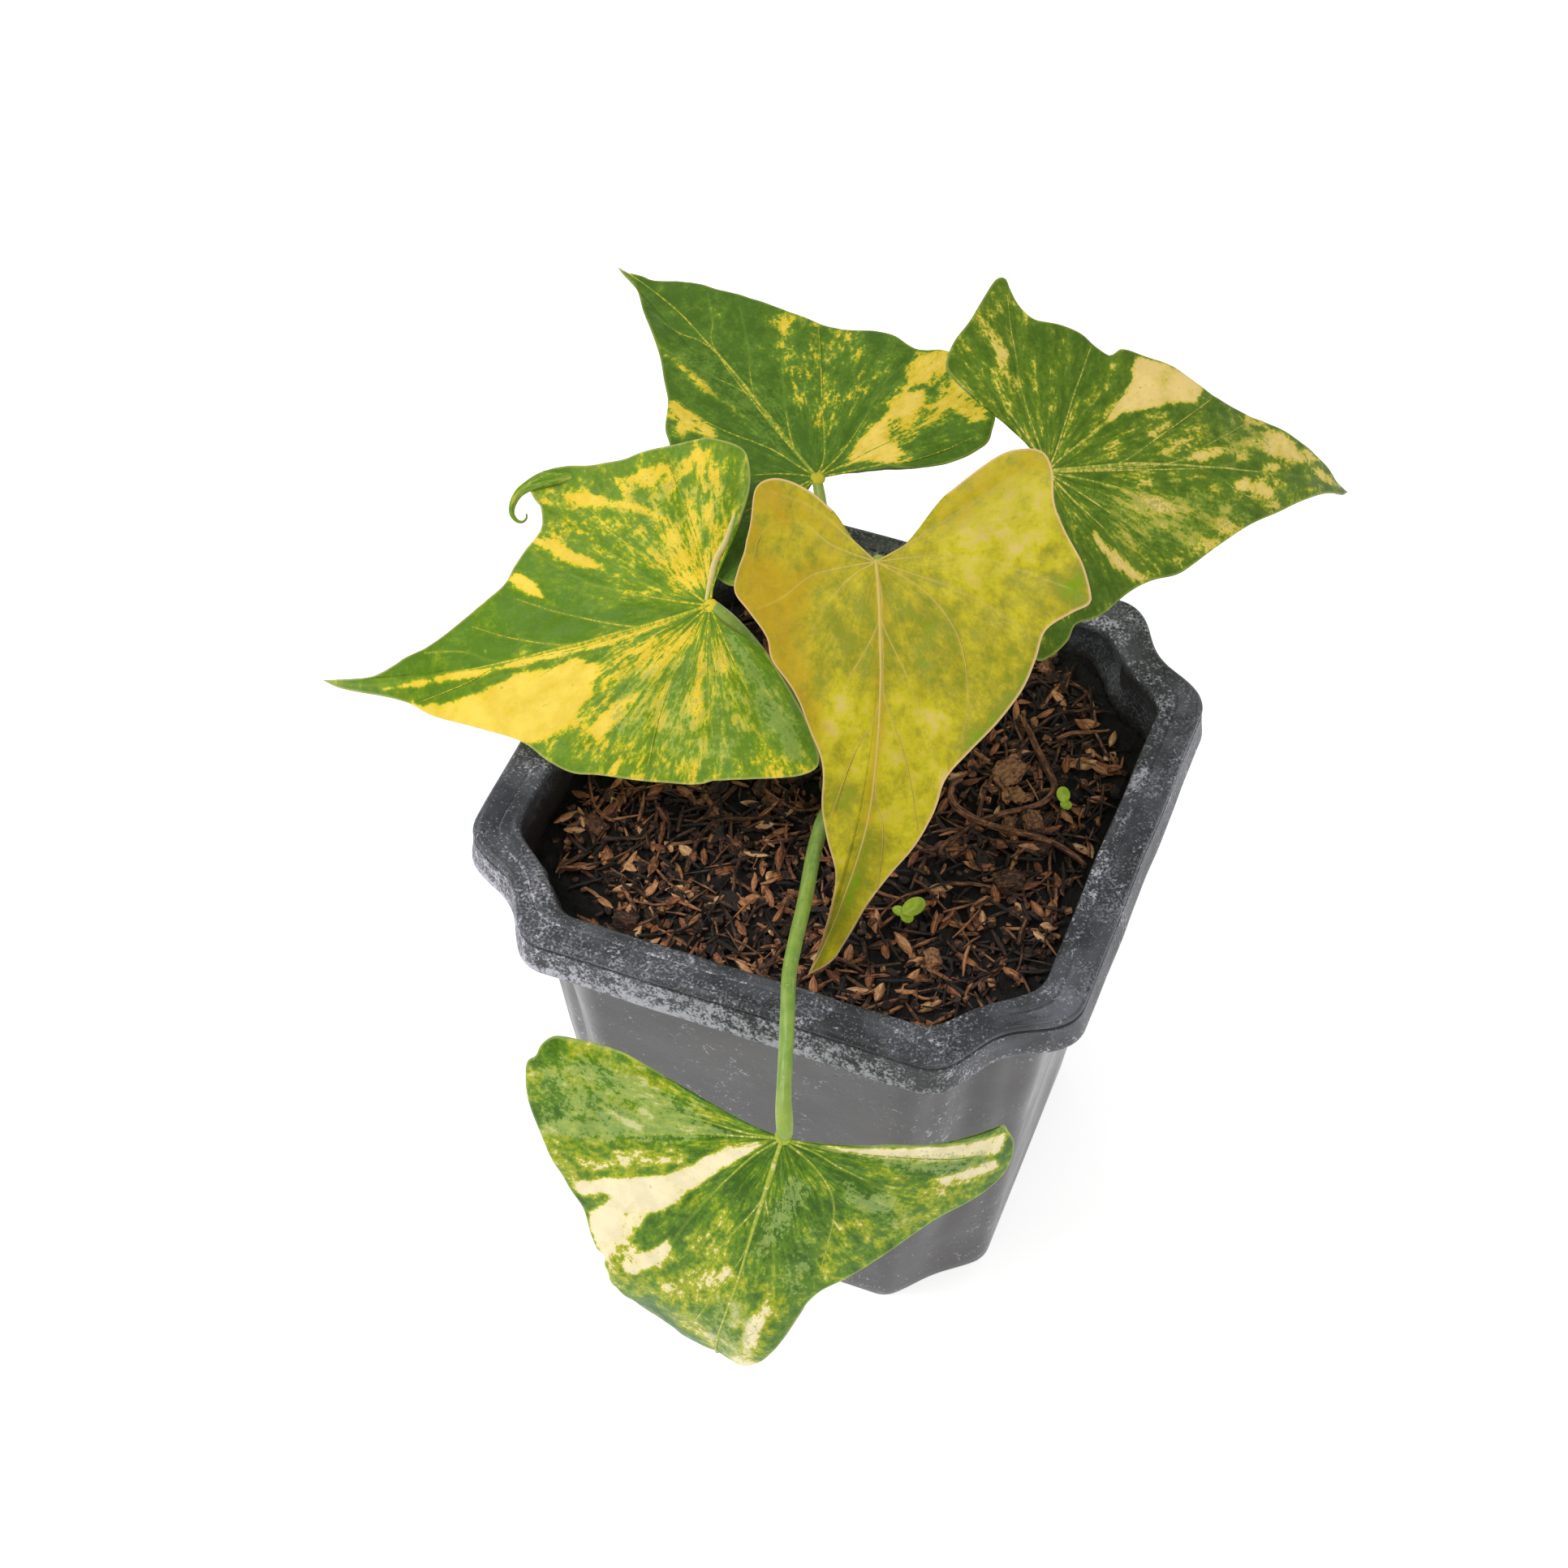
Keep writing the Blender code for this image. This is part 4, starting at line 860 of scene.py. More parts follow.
def leaf_finish(leaf, settings):
    """Variegated tissue: torn streaks of yellow in green, tint patches that are partly painted sheen, fine
    veins and a pale margin.
    """
    f = Finish("leaf_" + leaf.name)
    flat = f.vector("flat")
    grain = f.vector("grain")
    coarse = f.noise(grain, 0.9, 3.0, 0.6)
    fine = f.noise(grain, 2.8, 4.0, 0.65)
    blotch = f.noise(flat, 0.25, 4.0, 0.65)
    speckle = f.noise(flat, 1.1, 4.0, 0.7)
    if leaf.soft_tint:
        streaks, low, high, tinted, netted, veined, edged = 0.3, 0.05, 0.95, 0.8, 0.14, 0.85, 0.75
    else:
        streaks, low, high, tinted, netted, veined, edged = 1.0, 0.42, 0.54, 0.58, 0.06, 0.62, 0.35
    level = f.weigh((f.value("field"), 1.0), (f.swing(coarse), 2.6 * streaks),
                    (f.swing(fine), 2.0 * streaks), (f.swing(blotch), 2.4 - streaks),
                    (f.swing(speckle), 0.4 + streaks))
    place = f.sums("ADD", f.times(level, 0.5), 0.5)
    colour = f.ramp(place, list(zip(leaf.stops, leaf.colours)))
    # The tint patches: a coppery colour on the young leaf, and on the other leaves silvery patches of
    # painted sheen.
    tint = f.weigh((f.value("tint"), 1.0), (f.swing(fine), 1.5 * streaks), (f.swing(blotch), 1.2),
                   (f.swing(speckle), 1.9 * streaks))
    colour = f.blend(f.span(tint, low, high, 0.0, tinted), colour, leaf.tint_and_sheen_colour)
    patchy = f.noise(flat, 0.13, 5.0, 0.68)
    darker = f.node("HueSaturation", 0, {"Saturation": 1.1, "Value": 0.66, "Color": colour})
    colour = f.blend(f.span(patchy, 0.38, 0.64, 0.0, 0.36), colour, darker)
    wavy = f.node("VectorMath", 0, {0: flat, 1: f.node("TexNoise", 1, {"Vector": flat, "Scale": 0.45})},
                  operation="ADD")
    thread = f.span(f.cells(wavy, 0.4), 0.0, 0.035, netted, 0.0)
    halo = f.span(f.value("gap"), 0.15, 0.6, 0.16, 0.0)
    pale = f.sums("MAXIMUM", f.sums("MAXIMUM", thread, halo), f.times(f.value("vein"), veined))
    if not leaf.soft_tint:
        pale = f.times(pale, f.span(place, 0.52, 0.64, 1.0, 0.3))
    colour = f.blend(pale, colour, leaf.vein_colour)
    line = f.span(f.value("edge"), 0.15, 0.7, edged, 0.0)
    lip = f.span(f.value("edge"), -1.0, -0.2, 0.9, 0.0)
    colour = f.blend(f.sums("MAXIMUM", line, lip), colour, leaf.margin_colour)
    dust = f.noise(flat, 2.6, 5.0, 0.7)
    rough = f.span(f.noise(flat, 0.5, 4.0, 0.6), 0.3, 0.7, settings.leaf_roughness - 0.09,
                   settings.leaf_roughness + 0.1)
    height = f.weigh((fine, 0.6), (dust, 0.35), (blotch, 0.8))
    return f.wear(Base_Color=colour, Roughness=rough, Specular_IOR_Level=0.18,
                  Normal=f.bump(height, 0.25, 0.7))


def halfway(a, b):
    """The colour between two others."""
    return [0.5 * x + 0.5 * y for x, y in zip(a, b)]


def underside_finish(leaf):
    """The duller, paler back of a blade."""
    f = Finish("leaf_back_" + leaf.name)
    flat = f.vector("flat")
    level = f.weigh((f.value("field"), 0.35), (f.swing(f.noise(f.vector("grain"), 1.4, 3.0)), 1.2))
    colour = f.blend(f.span(level, -0.1, 0.5), halfway(leaf.colours[1], paint(168, 188, 120)),
                     halfway(leaf.colours[3], paint(214, 212, 150)))
    net = f.cells(flat, 0.34)
    colour = f.blend(f.span(net, 0.0, 0.1, 0.35, 0.0), colour, paint(196, 206, 150))
    rough = f.span(f.noise(flat, 0.8, 3.0), 0.3, 0.7, 0.48, 0.62)
    return f.wear(Base_Color=colour, Roughness=rough, Normal=f.bump(net, 0.3, 0.6))


def stalk_finish(settings):
    """Green stalk skin, yellower at the knee, with fine lines and pale specks."""
    f = Finish("stalk_skin")
    skin = f.vector("skin")
    lines = f.noise(f.stretch(skin, (1.6, 0.12, 1.0)), 1.0, 3.0, 0.6)
    mottle = f.noise(skin, 0.35, 4.0, 0.6)
    green = f.blend(f.span(mottle, 0.35, 0.65), settings.stalk_colour, paint(116, 152, 56))
    green = f.blend(f.span(lines, 0.45, 0.7, 0.0, 0.55), green, paint(168, 182, 104))
    green = f.blend(f.times(f.value("knee"), 0.5), green, paint(164, 178, 70))
    foot = f.span(f.value("along"), 2.0, 26.0, 0.65, 0.0)
    green = f.blend(foot, green, paint(150, 142, 92))
    specks = f.span(f.cells(skin, 0.55, "F1"), 0.05, 0.14, 0.8, 0.0)
    green = f.blend(specks, green, paint(206, 206, 158))
    rough = f.span(mottle, 0.3, 0.7, 0.34, 0.5)
    return f.wear(Base_Color=green, Roughness=rough, Normal=f.bump(lines, 0.25, 0.5))


def crown_finish():
    """Corky stem with leaf scars and dry bracts."""
    f = Finish("crown_bark")
    where = f.place()
    rings = f.noise(f.stretch(where, (90, 90, 700)), 1.0, 4.0, 0.6)
    lumps = f.noise(where, 260, 5.0, 0.65)
    bark = f.ramp(f.weigh((rings, 0.5), (lumps, 0.5)),
                  [(0.3, paint(46, 36, 22)), (0.46, paint(96, 84, 48)), (0.6, paint(122, 126, 66)),
                   (0.75, paint(160, 148, 100))])
    dry = f.ramp(f.noise(f.stretch(where, (500, 500, 60)), 1.0, 4.0, 0.6),
                 [(0.3, paint(84, 56, 30)), (0.5, paint(138, 98, 58)), (0.7, paint(188, 152, 104))])
    colour = f.blend(f.value("dry"), bark, dry)
    rough = f.span(lumps, 0.3, 0.7, 0.65, 0.9)
    height = f.weigh((rings, 0.5), (lumps, 0.6))
    return f.wear(Base_Color=colour, Roughness=rough, Normal=f.bump(height, 0.8))


def pot_finish(settings):
    """Satin moulded plastic with pits, dust, chalky deposits on the rim, and soil stain with painted shade
    in the groove under the bead and on the inner wall above the mix.
    """
    f = Finish("pot_plastic")
    where = f.place()
    grain = f.noise(where, 2600, 3.0, 0.6)
    cloud = f.noise(where, 30, 5.0, 0.62)
    crust = f.noise(where, 420, 6.0, 0.75)
    flecks = f.noise(where, 1500, 3.0, 0.65)
    haze = f.noise(where, 75, 5.0, 0.65)
    spread = f.noise(where, 48, 4.0, 0.6)
    body = f.blend(f.span(cloud, 0.35, 0.65), settings.body_colour, paint(66, 63, 63))
    pits = f.span(f.cells(where, 150, "F1"), 0.05, 0.11, 0.55, 0.0)
    body = f.blend(pits, body, paint(40, 40, 41))
    rim = f.blend(f.span(haze, 0.4, 0.62), settings.rim_colour, paint(76, 77, 82))
    specks = f.span(f.weigh((flecks, 1.0), (f.swing(spread), 0.7)), 0.52, 0.62, 0.0, 0.5)
    rim = f.blend(specks, rim, paint(140, 142, 149))
    scratches = f.noise(f.stretch(where, (45, 45, 2400)), 1.0, 3.0, 0.65)
    rim = f.blend(f.span(scratches, 0.54, 0.7, 0.0, 0.4), rim, paint(126, 128, 137))
    rim = f.blend(f.span(scratches, 0.3, 0.42, 0.4, 0.0), rim, paint(26, 27, 29))
    colour = f.blend(f.value("rim"), body, rim)
    chalk = f.span(f.weigh((f.value("chalk"), 1.0), (f.swing(crust), 3.2), (f.swing(spread), 1.6),
                           (f.swing(flecks), 2.6)), 0.42, 1.05)
    colour = f.blend(f.times(chalk, 0.8), colour, settings.chalk_colour)
    # Dark brown in the groove and low on the inner wall: soil stain and painted shade.
    soil = f.span(f.weigh((f.value("soiled"), 1.0), (f.swing(crust), 2.2)), 0.3, 0.8)
    colour = f.blend(f.times(soil, 0.8), colour, paint(42, 34, 26))
    satin = f.span(cloud, 0.35, 0.7, settings.roughness - 0.06, settings.roughness + 0.08)
    satin = f.sums("ADD", satin, f.times(f.value("rim"), 0.14))
    rough = f.sums("MAXIMUM", satin, f.times(chalk, 0.85))
    bumpy = f.times(f.weigh((crust, 0.5), (chalk, 0.7), (flecks, 0.3)), f.value("rim"))
    height = f.weigh((grain, 0.1), (bumpy, 1.0), (pits, -0.5), (cloud, 1.2))
    return f.wear(Base_Color=colour, Roughness=rough, Specular_IOR_Level=0.38,
                  Normal=f.bump(height, 0.34, 0.7))


def mix_finish():
    """Dark peat with fibres and a damp sheen in the hollows."""
    f = Finish("potting_mix_peat")
    where = f.place()
    clods = f.noise(where, 260, 6.0, 0.72)
    threads = f.noise(f.stretch(where, (1500, 260, 400), (0.0, 0.0, 0.7)), 1.0, 4.0, 0.65, 1.2)
    peat = f.ramp(f.weigh((clods, 0.6), (threads, 0.4)),
                  [(0.3, paint(6, 5, 4)), (0.48, paint(13, 10, 8)), (0.6, paint(30, 22, 16)),
                   (0.74, paint(84, 58, 38))])
    rough = f.span(clods, 0.3, 0.7, 0.5, 0.9)
    height = f.weigh((clods, 1.0), (threads, 0.7))
    return f.wear(Base_Color=peat, Roughness=rough, Normal=f.bump(height, 1.8))


def debris_finish(name, stops, stretch, depth=0.4):
    """Loose pieces of the mix, each with its own tone and streaked along its length."""
    f = Finish(name)
    streaks = f.noise(f.stretch(f.vector("skin"), stretch), 1.0, 4.0, 0.68)
    grime = f.noise(f.place(), 900, 4.0, 0.65)
    level = f.weigh((f.value("tone"), 0.6), (streaks, 1.5), (grime, 0.8))
    colour = f.ramp(f.sums("SUBTRACT", level, 0.95), stops)
    rough = f.span(grime, 0.35, 0.65, 0.42, 0.75)
    height = f.weigh((streaks, 1.0), (grime, 0.4))
    return f.wear(Base_Color=colour, Roughness=rough, Normal=f.bump(height, depth))


def seedling_finish(settings):
    """Bright, thin, slightly veined seedling leaves."""
    f = Finish("seedling_green")
    where = f.place()
    mottle = f.noise(where, 700, 4.0, 0.6)
    colour = f.blend(f.span(mottle, 0.35, 0.65), settings.seedling_colour, paint(196, 214, 62))
    colour = f.blend(f.times(f.value("vein"), 0.6), colour, paint(214, 224, 120))
    rough = f.span(mottle, 0.3, 0.7, 0.35, 0.52)
    return f.wear(Base_Color=colour, Roughness=rough, Normal=f.bump(mottle, 0.2, 0.5))


def blade_faces(n, rings):
    """Faces of a blade's upper side, its back and the edge between them. Each side has
    rings of n points, and the joint's point last.
    """
    centre = n * rings
    face, back, side = [], [], []
    for k in range(n - 1):
        face.append((centre, k + 1, k))
        back.append((centre, k, k + 1))
        for i in range(rings - 1):
            a = i * n + k
            face.append((a, a + 1, a + n + 1, a + n))
            back.append((a, a + n, a + n + 1, a + 1))
        a = (rings - 1) * n + k
        side.append((a, a + 1, a + centre + 2, a + centre + 1))
    for i in range(rings - 1):
        a, b = i * n, i * n + n - 1
        side.append((a, a + n, a + n + centre + 1, a + centre + 1))
        side.append((b + n, b, b + centre + 1, b + n + centre + 1))
    return face, back, side


def make_blade(leaf, settings):
    """The blade with its relief, margin, raised veins and knot at the joint."""
    columns, rings = settings.blade_columns, settings.blade_rings
    shares = np.concatenate([np.linspace(0.02, EDGE_SHARES[0], rings - 2), EDGE_SHARES[1:]])
    flat, wave = leaf.sheet(columns, shares)
    n = 2 * columns + 1
    flat = np.concatenate([flat, [(0.0, 0.0)]])
    wave = np.concatenate([wave, [0.0]])
    share = np.concatenate([np.repeat(shares, n), [0.0]])
    gap = distance_to_lines(flat, leaf.veins)
    round_edge = np.interp(share, EDGE_SHARES, (0.0, 0.04, 0.16))
    top = leaf.put(flat, wave + leaf.relief(flat, gap) - round_edge)
    out = leaf.face_out(flat)
    thick = np.interp(share, EDGE_SHARES, (BLADE_THICK * 0.75, 0.5, 0.26))
    under = top - out * thick[:, None]
    reach = np.hypot(flat[:, 0], flat[:, 1])
    bearing = np.arctan2(flat[:, 1], flat[:, 0])
    grain = np.stack([bearing * GRAIN_TURN, reach / GRAIN_REACH,
                      np.full(len(flat), leaf.heading * GRAIN_SHIFT)], 1)
    inset = distance_to_lines(flat, [even_outline(leaf, columns)])
    carried = {
        "field": leaf.level(flat, leaf.base, leaf.patches), "tint": leaf.level(flat, 0.0, leaf.tints_and_sheen),
        "gap": np.minimum(gap, 8.0), "edge": np.minimum(inset, 6.0),
        "grain": grain, "flat": leaf.pattern(flat)}
    solid = Solid(("field", "tint", "gap", "edge", "vein"), ("grain", "flat"))
    face, back, side = blade_faces(n, rings)
    solid.add(top, face, 0, **carried)
    solid.add(under, back, 1, **carried)
    solid.faces += side
    solid.slots += [0] * len(side)
    midrib = settings.vein_radius / MM
    add_vein(solid, leaf, leaf.veins[0], midrib, 0.2, 1.0)
    for line in leaf.veins[1:]:
        add_vein(solid, leaf, line, midrib * 0.6, 0.14, 0.6)
    if leaf.name == "left":
        add_horn(solid, leaf)
        add_lip(solid, leaf)
    add_knot(solid, leaf)
    finishes = [leaf_finish(leaf, settings), underside_finish(leaf)]
    solid.make("anthurium_blade_" + leaf.name, finishes, ["blade_" + leaf.name], 62)


def even_outline(leaf, columns):
    """The outline as flat points, columns spans to a side."""
    bearing, reach = leaf.margin(columns)
    return reach[:, None] * np.stack([np.cos(bearing), np.sin(bearing)], 1)


def add_vein(solid, leaf, line, foot, end, pale):
    """A raised vein that thins from a foot radius to an end radius."""
    flat = even_spacing(line, 40)
    route = leaf.put(flat, leaf.relief(flat, np.zeros(len(flat))) - 0.12)
    flat = leaf.pattern(flat)
    solid.add_tube(route, (foot, foot * 0.72, foot * 0.55, end, end * 0.5), 6,
                   vein=pale, gap=2.0, edge=6.0, flat=flat, grain=flat)


def add_horn(solid, leaf):
    """The rolled and hooked end of the upper margin."""
    flat = even_spacing(smooth_through(HORN, 8), 70)
    lift = np.interp(np.linspace(0, 1, len(flat)), (0, 0.22, 1), (-1.6, 0.1, 0.4))
    sides = 20
    points, faces = tube_shell(leaf.put(flat, lift), HORN_RADII, sides, 0.9)
    far = np.repeat(np.arange(len(flat)) * 0.55, sides)
    turn = np.tile(2 * pi * np.arange(sides) / sides, len(flat))
    skin = with_tips(np.stack([np.cos(turn) * 1.4, far * 0.12, np.sin(turn) * 1.4 + leaf.heading], 1))
    # pale lightens one side of the roll and tints it silvery: a painted highlight.
    pale = np.concatenate([0.5 + 0.5 * np.cos(turn - 0.6), [0.5, 0.5]])
    solid.add(points, faces, field=-0.6 + 0.2 * pale, tint=0.2 + 0.45 * pale, gap=6.0, edge=4.0,
              flat=skin, grain=skin)


def add_lip(solid, leaf):
    """The pale fold along the inner edge of the upper lobe."""
    flat = even_spacing(smooth_through(LIP, 8), 40)
    route = leaf.put(flat, np.interp(np.linspace(0, 1, len(flat)), (0, 0.3, 1), (-0.3, 0.1, -0.4)))
    flat = leaf.pattern(flat)
    solid.add_tube(route, (0.5, 0.85, 0.8, 0.6, 0.25), 12, 0.7, edge=-1.0, gap=6.0, flat=flat, grain=flat)


def add_knot(solid, leaf):
    """The pale swelling where the veins meet."""
    turns = 14
    points = []
    middle = leaf.put(np.array([(0.0, 0.0)]))[0]
    for radius, lift in ((2.0, -0.7), (1.9, -0.25), (1.3, 0.1), (0.7, 0.26)):
        radius *= leaf.knot
        for k in range(turns):
            a = 2 * pi * k / turns
            points.append(middle + leaf.along * radius * cos(a) + leaf.side * radius * sin(a)
                          + leaf.up * lift)
    points.append(middle + leaf.up * 0.3)
    faces = band_faces(3, turns)
    for k in range(turns):
        faces.append((3 * turns + k, 3 * turns + (k + 1) % turns, 4 * turns))
    faces.append(tuple(reversed(range(turns))))
    solid.add(points, faces, vein=0.8, edge=6.0, gap=1.0, flat=(0, 0, leaf.heading * FLAT_SHIFT))


def make_stalk(leaf, settings, skin):
    """A leaf stalk with its sheath at the foot and the swollen knee under the blade."""
    sunk = 1 - leaf.knot
    end = leaf.joint - leaf.up * (BLADE_THICK + 0.3 + 1.6 * sunk) + leaf.along * 4 * sunk
    route = smooth_through(leaf.stalk + [tuple(end)], 10)
    route = even_spacing(np.concatenate([route[:1] - (0, 0, 6.0), route]), 90)
    far = travelled(route)
    left = far[-1] - far
    thick = settings.stalk_radius / MM * leaf.girth
    radii = thick * (1 + 0.75 * np.exp(-far / 7.0) + 0.25 * np.exp(-far / 30.0))
    knee = np.exp(-((left - 4.5) / 4.0) ** 2)
    radii = radii * (1 + 0.16 * knee)
    radii[-1] *= 0.8
    sides = 18
    solid = Solid(("along", "knee"), ("skin",))
    turn = np.tile(np.arange(sides) / sides, len(route))
    wrap = np.stack([turn * 12, np.repeat(far, sides), np.full(len(turn), leaf.heading * SKIN_SHIFT)], 1)
    wrap = np.concatenate([wrap, [(0, far[0], 0), (0, far[-1], 0)]])
    solid.add_tube(route, radii, sides, 0.94, along=far, knee=knee, skin=wrap)
    solid.make("anthurium_stalk_" + leaf.name, [skin], ["petiole_" + leaf.name])


def make_crown():
    """The short stem between the stalks, with scars, dry bracts and root tips."""
    rng = random.Random(SEED)
    solid = Solid(("dry",))
    cx, cy = CROWN_CENTRE
    turns, rows = 72, 46
    points = []
    for i in range(rows):
        t = i / (rows - 1)
        dome = 1 if t < 0.9 else sqrt(max(0.0, 1 - ((t - 0.9) / 0.1) ** 2) + 0.02)
        z = CROWN_LOW[2] + (CROWN_HIGH[2] - CROWN_LOW[2]) * t
        for k in range(turns):
            a = 2 * pi * k / turns
            lump = noise.noise((cos(a) * 1.4, sin(a) * 1.4, z / 5.0))
            scar = 0.5 * max(0.0, sin(z * 1.15 + 1.2 * sin(a * 2 + 1))) ** 3
            radius = (CROWN_RADIUS - 1.3) * (1 - 0.3 * t ** 3) * dome
            radius = max(0.3, radius + lump * min(1, (1 - t) * 6) + scar * (t < 0.92))
            points.append((cx + radius * cos(a), cy + radius * sin(a), z))
    faces = band_faces(rows - 1, turns)
    faces.append(tuple(reversed(range(turns))))
    faces.append(tuple((rows - 1) * turns + k for k in range(turns)))
    solid.add(points, faces)
    for k in range(7):
        add_bract(solid, rng, 2 * pi * k / 7 + rng.uniform(-0.3, 0.3))
    for k in range(6):
        a = 2 * pi * k / 6 + rng.uniform(-0.4, 0.4)
        foot = np.array((cx + 7 * cos(a), cy + 7 * sin(a), rng.uniform(126, 131)))
        away = np.array((cos(a), sin(a), -0.9))
        route = [foot, foot + away * 2.0, foot + away * 3.5 - (0, 0, 1.5)]
        solid.add_tube(route, (1.5, 1.35, 0.8), 8, dry=0.35)
    solid.make("anthurium_crown", [crown_finish()], ["crown"], 50)


def add_bract(solid, rng, turn):
    """A dry papery bract that wraps part of the crown."""
    cx, cy = CROWN_CENTRE
    wide = rng.uniform(0.45, 0.75)
    tall = rng.uniform(7, 11)
    foot = rng.uniform(122, 127)
    nu, nv = 9, 10
    rows = []
    for lift in (0.0, 0.25):
        for i in range(nv):
            t = i / (nv - 1)
            half = wide * (1 - t ** 1.6) + 0.03
            for j in range(nu):
                s = 2 * j / (nu - 1) - 1
                a = turn + s * half
                radius = 8.0 + lift + 1.1 * t * t + 0.4 * noise.noise((s * 2, t * 3, turn))
                z = min(foot + tall * t, CROWN_HIGH[2])
                rows.append((cx + radius * cos(a), cy + radius * sin(a), z))
    faces = []
    for i in range(nv - 1):
        for j in range(nu - 1):
            a = i * nu + j
            b = a + nu * nv
            faces.append((a, a + nu, a + nu + 1, a + 1))
            faces.append((b, b + 1, b + nu + 1, b + nu))
    loop = list(range(nu)) + [i * nu + nu - 1 for i in range(1, nv)]
    loop += [(nv - 1) * nu + j for j in range(nu - 2, -1, -1)] + [i * nu for i in range(nv - 2, 0, -1)]
    for a, b in zip(loop, loop[1:] + loop[:1]):
        faces.append((a, b, b + nu * nv, a + nu * nv))
    solid.add(rows, faces, dry=1.0)


def plan_ring(half, cut, dip, z, rounding=9.0):
    """A square with cut corners, each hollow in its middle, seen in plan at height z."""
    r = min(rounding, half * 0.13)
    cx = half - r
    cy = cut - r * sqrt(2) - half + r
    arc = [(cx + r * cos(a), cy + r * sin(a)) for a in np.radians(np.linspace(0, 45, 9))]
    a, b = arc[-1], (arc[-1][1], arc[-1][0])
    quarter = [(half, cy * t) for t in np.linspace(-0.96, 0.96, 26)] + arc
    for t in np.linspace(0, 1, 26)[1:-1]:
        sink = dip * (1 - cos(2 * pi * t)) / 2 / sqrt(2)
        quarter.append((a[0] + (b[0] - a[0]) * t - sink, a[1] + (b[1] - a[1]) * t - sink))
    quarter += [(y, x) for x, y in reversed(arc)]
    ring = []
    for c, s in ((1, 0), (0, 1), (-1, 0), (0, -1)):
        ring += [(x * c - y * s, x * s + y * c, z) for x, y in quarter]
    return ring


def hollow(z):
    """How far the corner faces of the pot's body bend in at height z."""
    return 0.8 + 1.7 * z / SKIRT_FOOT


def inner_size(z):
    """Half width and corner cut of the pot's inside at height z."""
    t = z / SKIRT_FOOT
    return (BASE_HALF * (1 - t) + BODY_HALF_TOP * t - WALL,
            BASE_CUT * (1 - t) + BODY_CUT_TOP * t - WALL * 1.45)


def pot_profile():
    """The pot's rings from its foot up and back down inside: half width, corner cut,
    how far the corner faces bend in, height, and the zone that the ring belongs to.
    """
    top, low = RIM_TOP, SKIRT_FOOT
    inner = [(*inner_size(z), min(hollow(z), 0.8 + 0.25 * (top - 5 - z)), z, "inside")
             for z in np.linspace(top - 5, FLOOR, 30)]
    body = [(BASE_HALF + (BODY_HALF_TOP - BASE_HALF) * s, BASE_CUT + (BODY_CUT_TOP - BASE_CUT) * s,
             hollow(low * s), 1.0 + (low - 1.0) * s, "body") for s in np.linspace(0, 1, 44)]
    return [
        (BASE_HALF - 1.0, BASE_CUT - 1.4, 0.8, 0.0, "body"),
        (BASE_HALF - 0.3, BASE_CUT - 0.4, 0.8, 0.2, "body"),
        *body,
        (BODY_HALF_TOP + 0.9, BODY_CUT_TOP + 1.3, 2.6, top - 2.4, "body"),
        (RIM_HALF - 1.6, RIM_CUT - 2.3, 2.9, top - 2.4, "body"),
        (SKIRT_HALF - 1.5, SKIRT_CUT - 2.2, 3.0, low + 0.1, "foot"),
        (SKIRT_HALF - 1.3, SKIRT_CUT - 1.9, 3.0, low, "foot"),
        (SKIRT_HALF - 0.2, SKIRT_CUT - 0.2, 3.0, low, "foot"),
        (SKIRT_HALF, SKIRT_CUT, 3.0, low + 0.3, "foot"),
        (SKIRT_HALF - 0.05, SKIRT_CUT, 3.0, low + 1.4, "foot"),
        (SKIRT_HALF - 0.35, SKIRT_CUT - 0.35, 3.0, low + 3.2, "skirt"),
        (SKIRT_HALF - 0.6, SKIRT_CUT - 0.6, 3.0, low + 5.0, "skirt"),
        (SKIRT_HALF - 0.8, SKIRT_CUT - 0.8, 3.0, low + 6.6, "skirt"),
        (SKIRT_HALF - 0.95, SKIRT_CUT - 1.0, 3.0, low + 7.9, "skirt"),
        (SKIRT_HALF - 1.6, SKIRT_CUT - 1.8, 3.0, low + 8.2, "groove"),
        (SKIRT_HALF - 1.6, SKIRT_CUT - 1.8, 3.0, low + 8.6, "groove"),
        (RIM_HALF + 0.1, RIM_CUT + 0.1, 2.9, low + 8.9, "bead"),
        (RIM_HALF + 0.3, RIM_CUT + 0.4, 2.9, low + 9.5, "bead"),
        (RIM_HALF + 0.1, RIM_CUT + 0.1, 2.9, low + 10.2, "bead"),
        (RIM_HALF - 0.5, RIM_CUT - 0.7, 2.8, top - 0.2, "bead"),
        (RIM_HALF - 1.1, RIM_CUT - 1.5, 2.8, top, "bead"),
        (RIM_HALF - 1.7, RIM_CUT - 2.3, 2.6, top - 0.15, "flange"),
        (RIM_HALF - 2.2, RIM_CUT - 3.0, 2.4, top - 0.25, "flange"),
        (RIM_HALF - 4.0, RIM_CUT - 5.0, 2.0, top - 0.2, "flange"),
        (GROOVE_HALF + 0.4, GROOVE_CUT + 0.6, 1.4, top - 0.2, "flange"),
        (GROOVE_HALF + 0.12, GROOVE_CUT + 0.2, 1.4, top - 0.45, "line"),
        (GROOVE_HALF - 0.12, GROOVE_CUT - 0.2, 1.4, top - 0.45, "line"),
        (GROOVE_HALF - 0.4, GROOVE_CUT - 0.6, 1.4, top - 0.25, "worn"),
        (GROOVE_HALF - 2.0, GROOVE_CUT - 3.0, 1.1, top - 0.35, "worn"),
        (INNER_HALF + 0.9, INNER_CUT + 1.3, 0.9, top - 0.6, "worn"),
        (INNER_HALF + 0.3, INNER_CUT + 0.5, 0.8, top - 0.95, "worn"),
        (INNER_HALF, INNER_CUT, 0.8, top - 1.6, "inside"),
        (INNER_HALF + 0.1, INNER_CUT, 0.8, top - 3.0, "inside"),
        *inner]


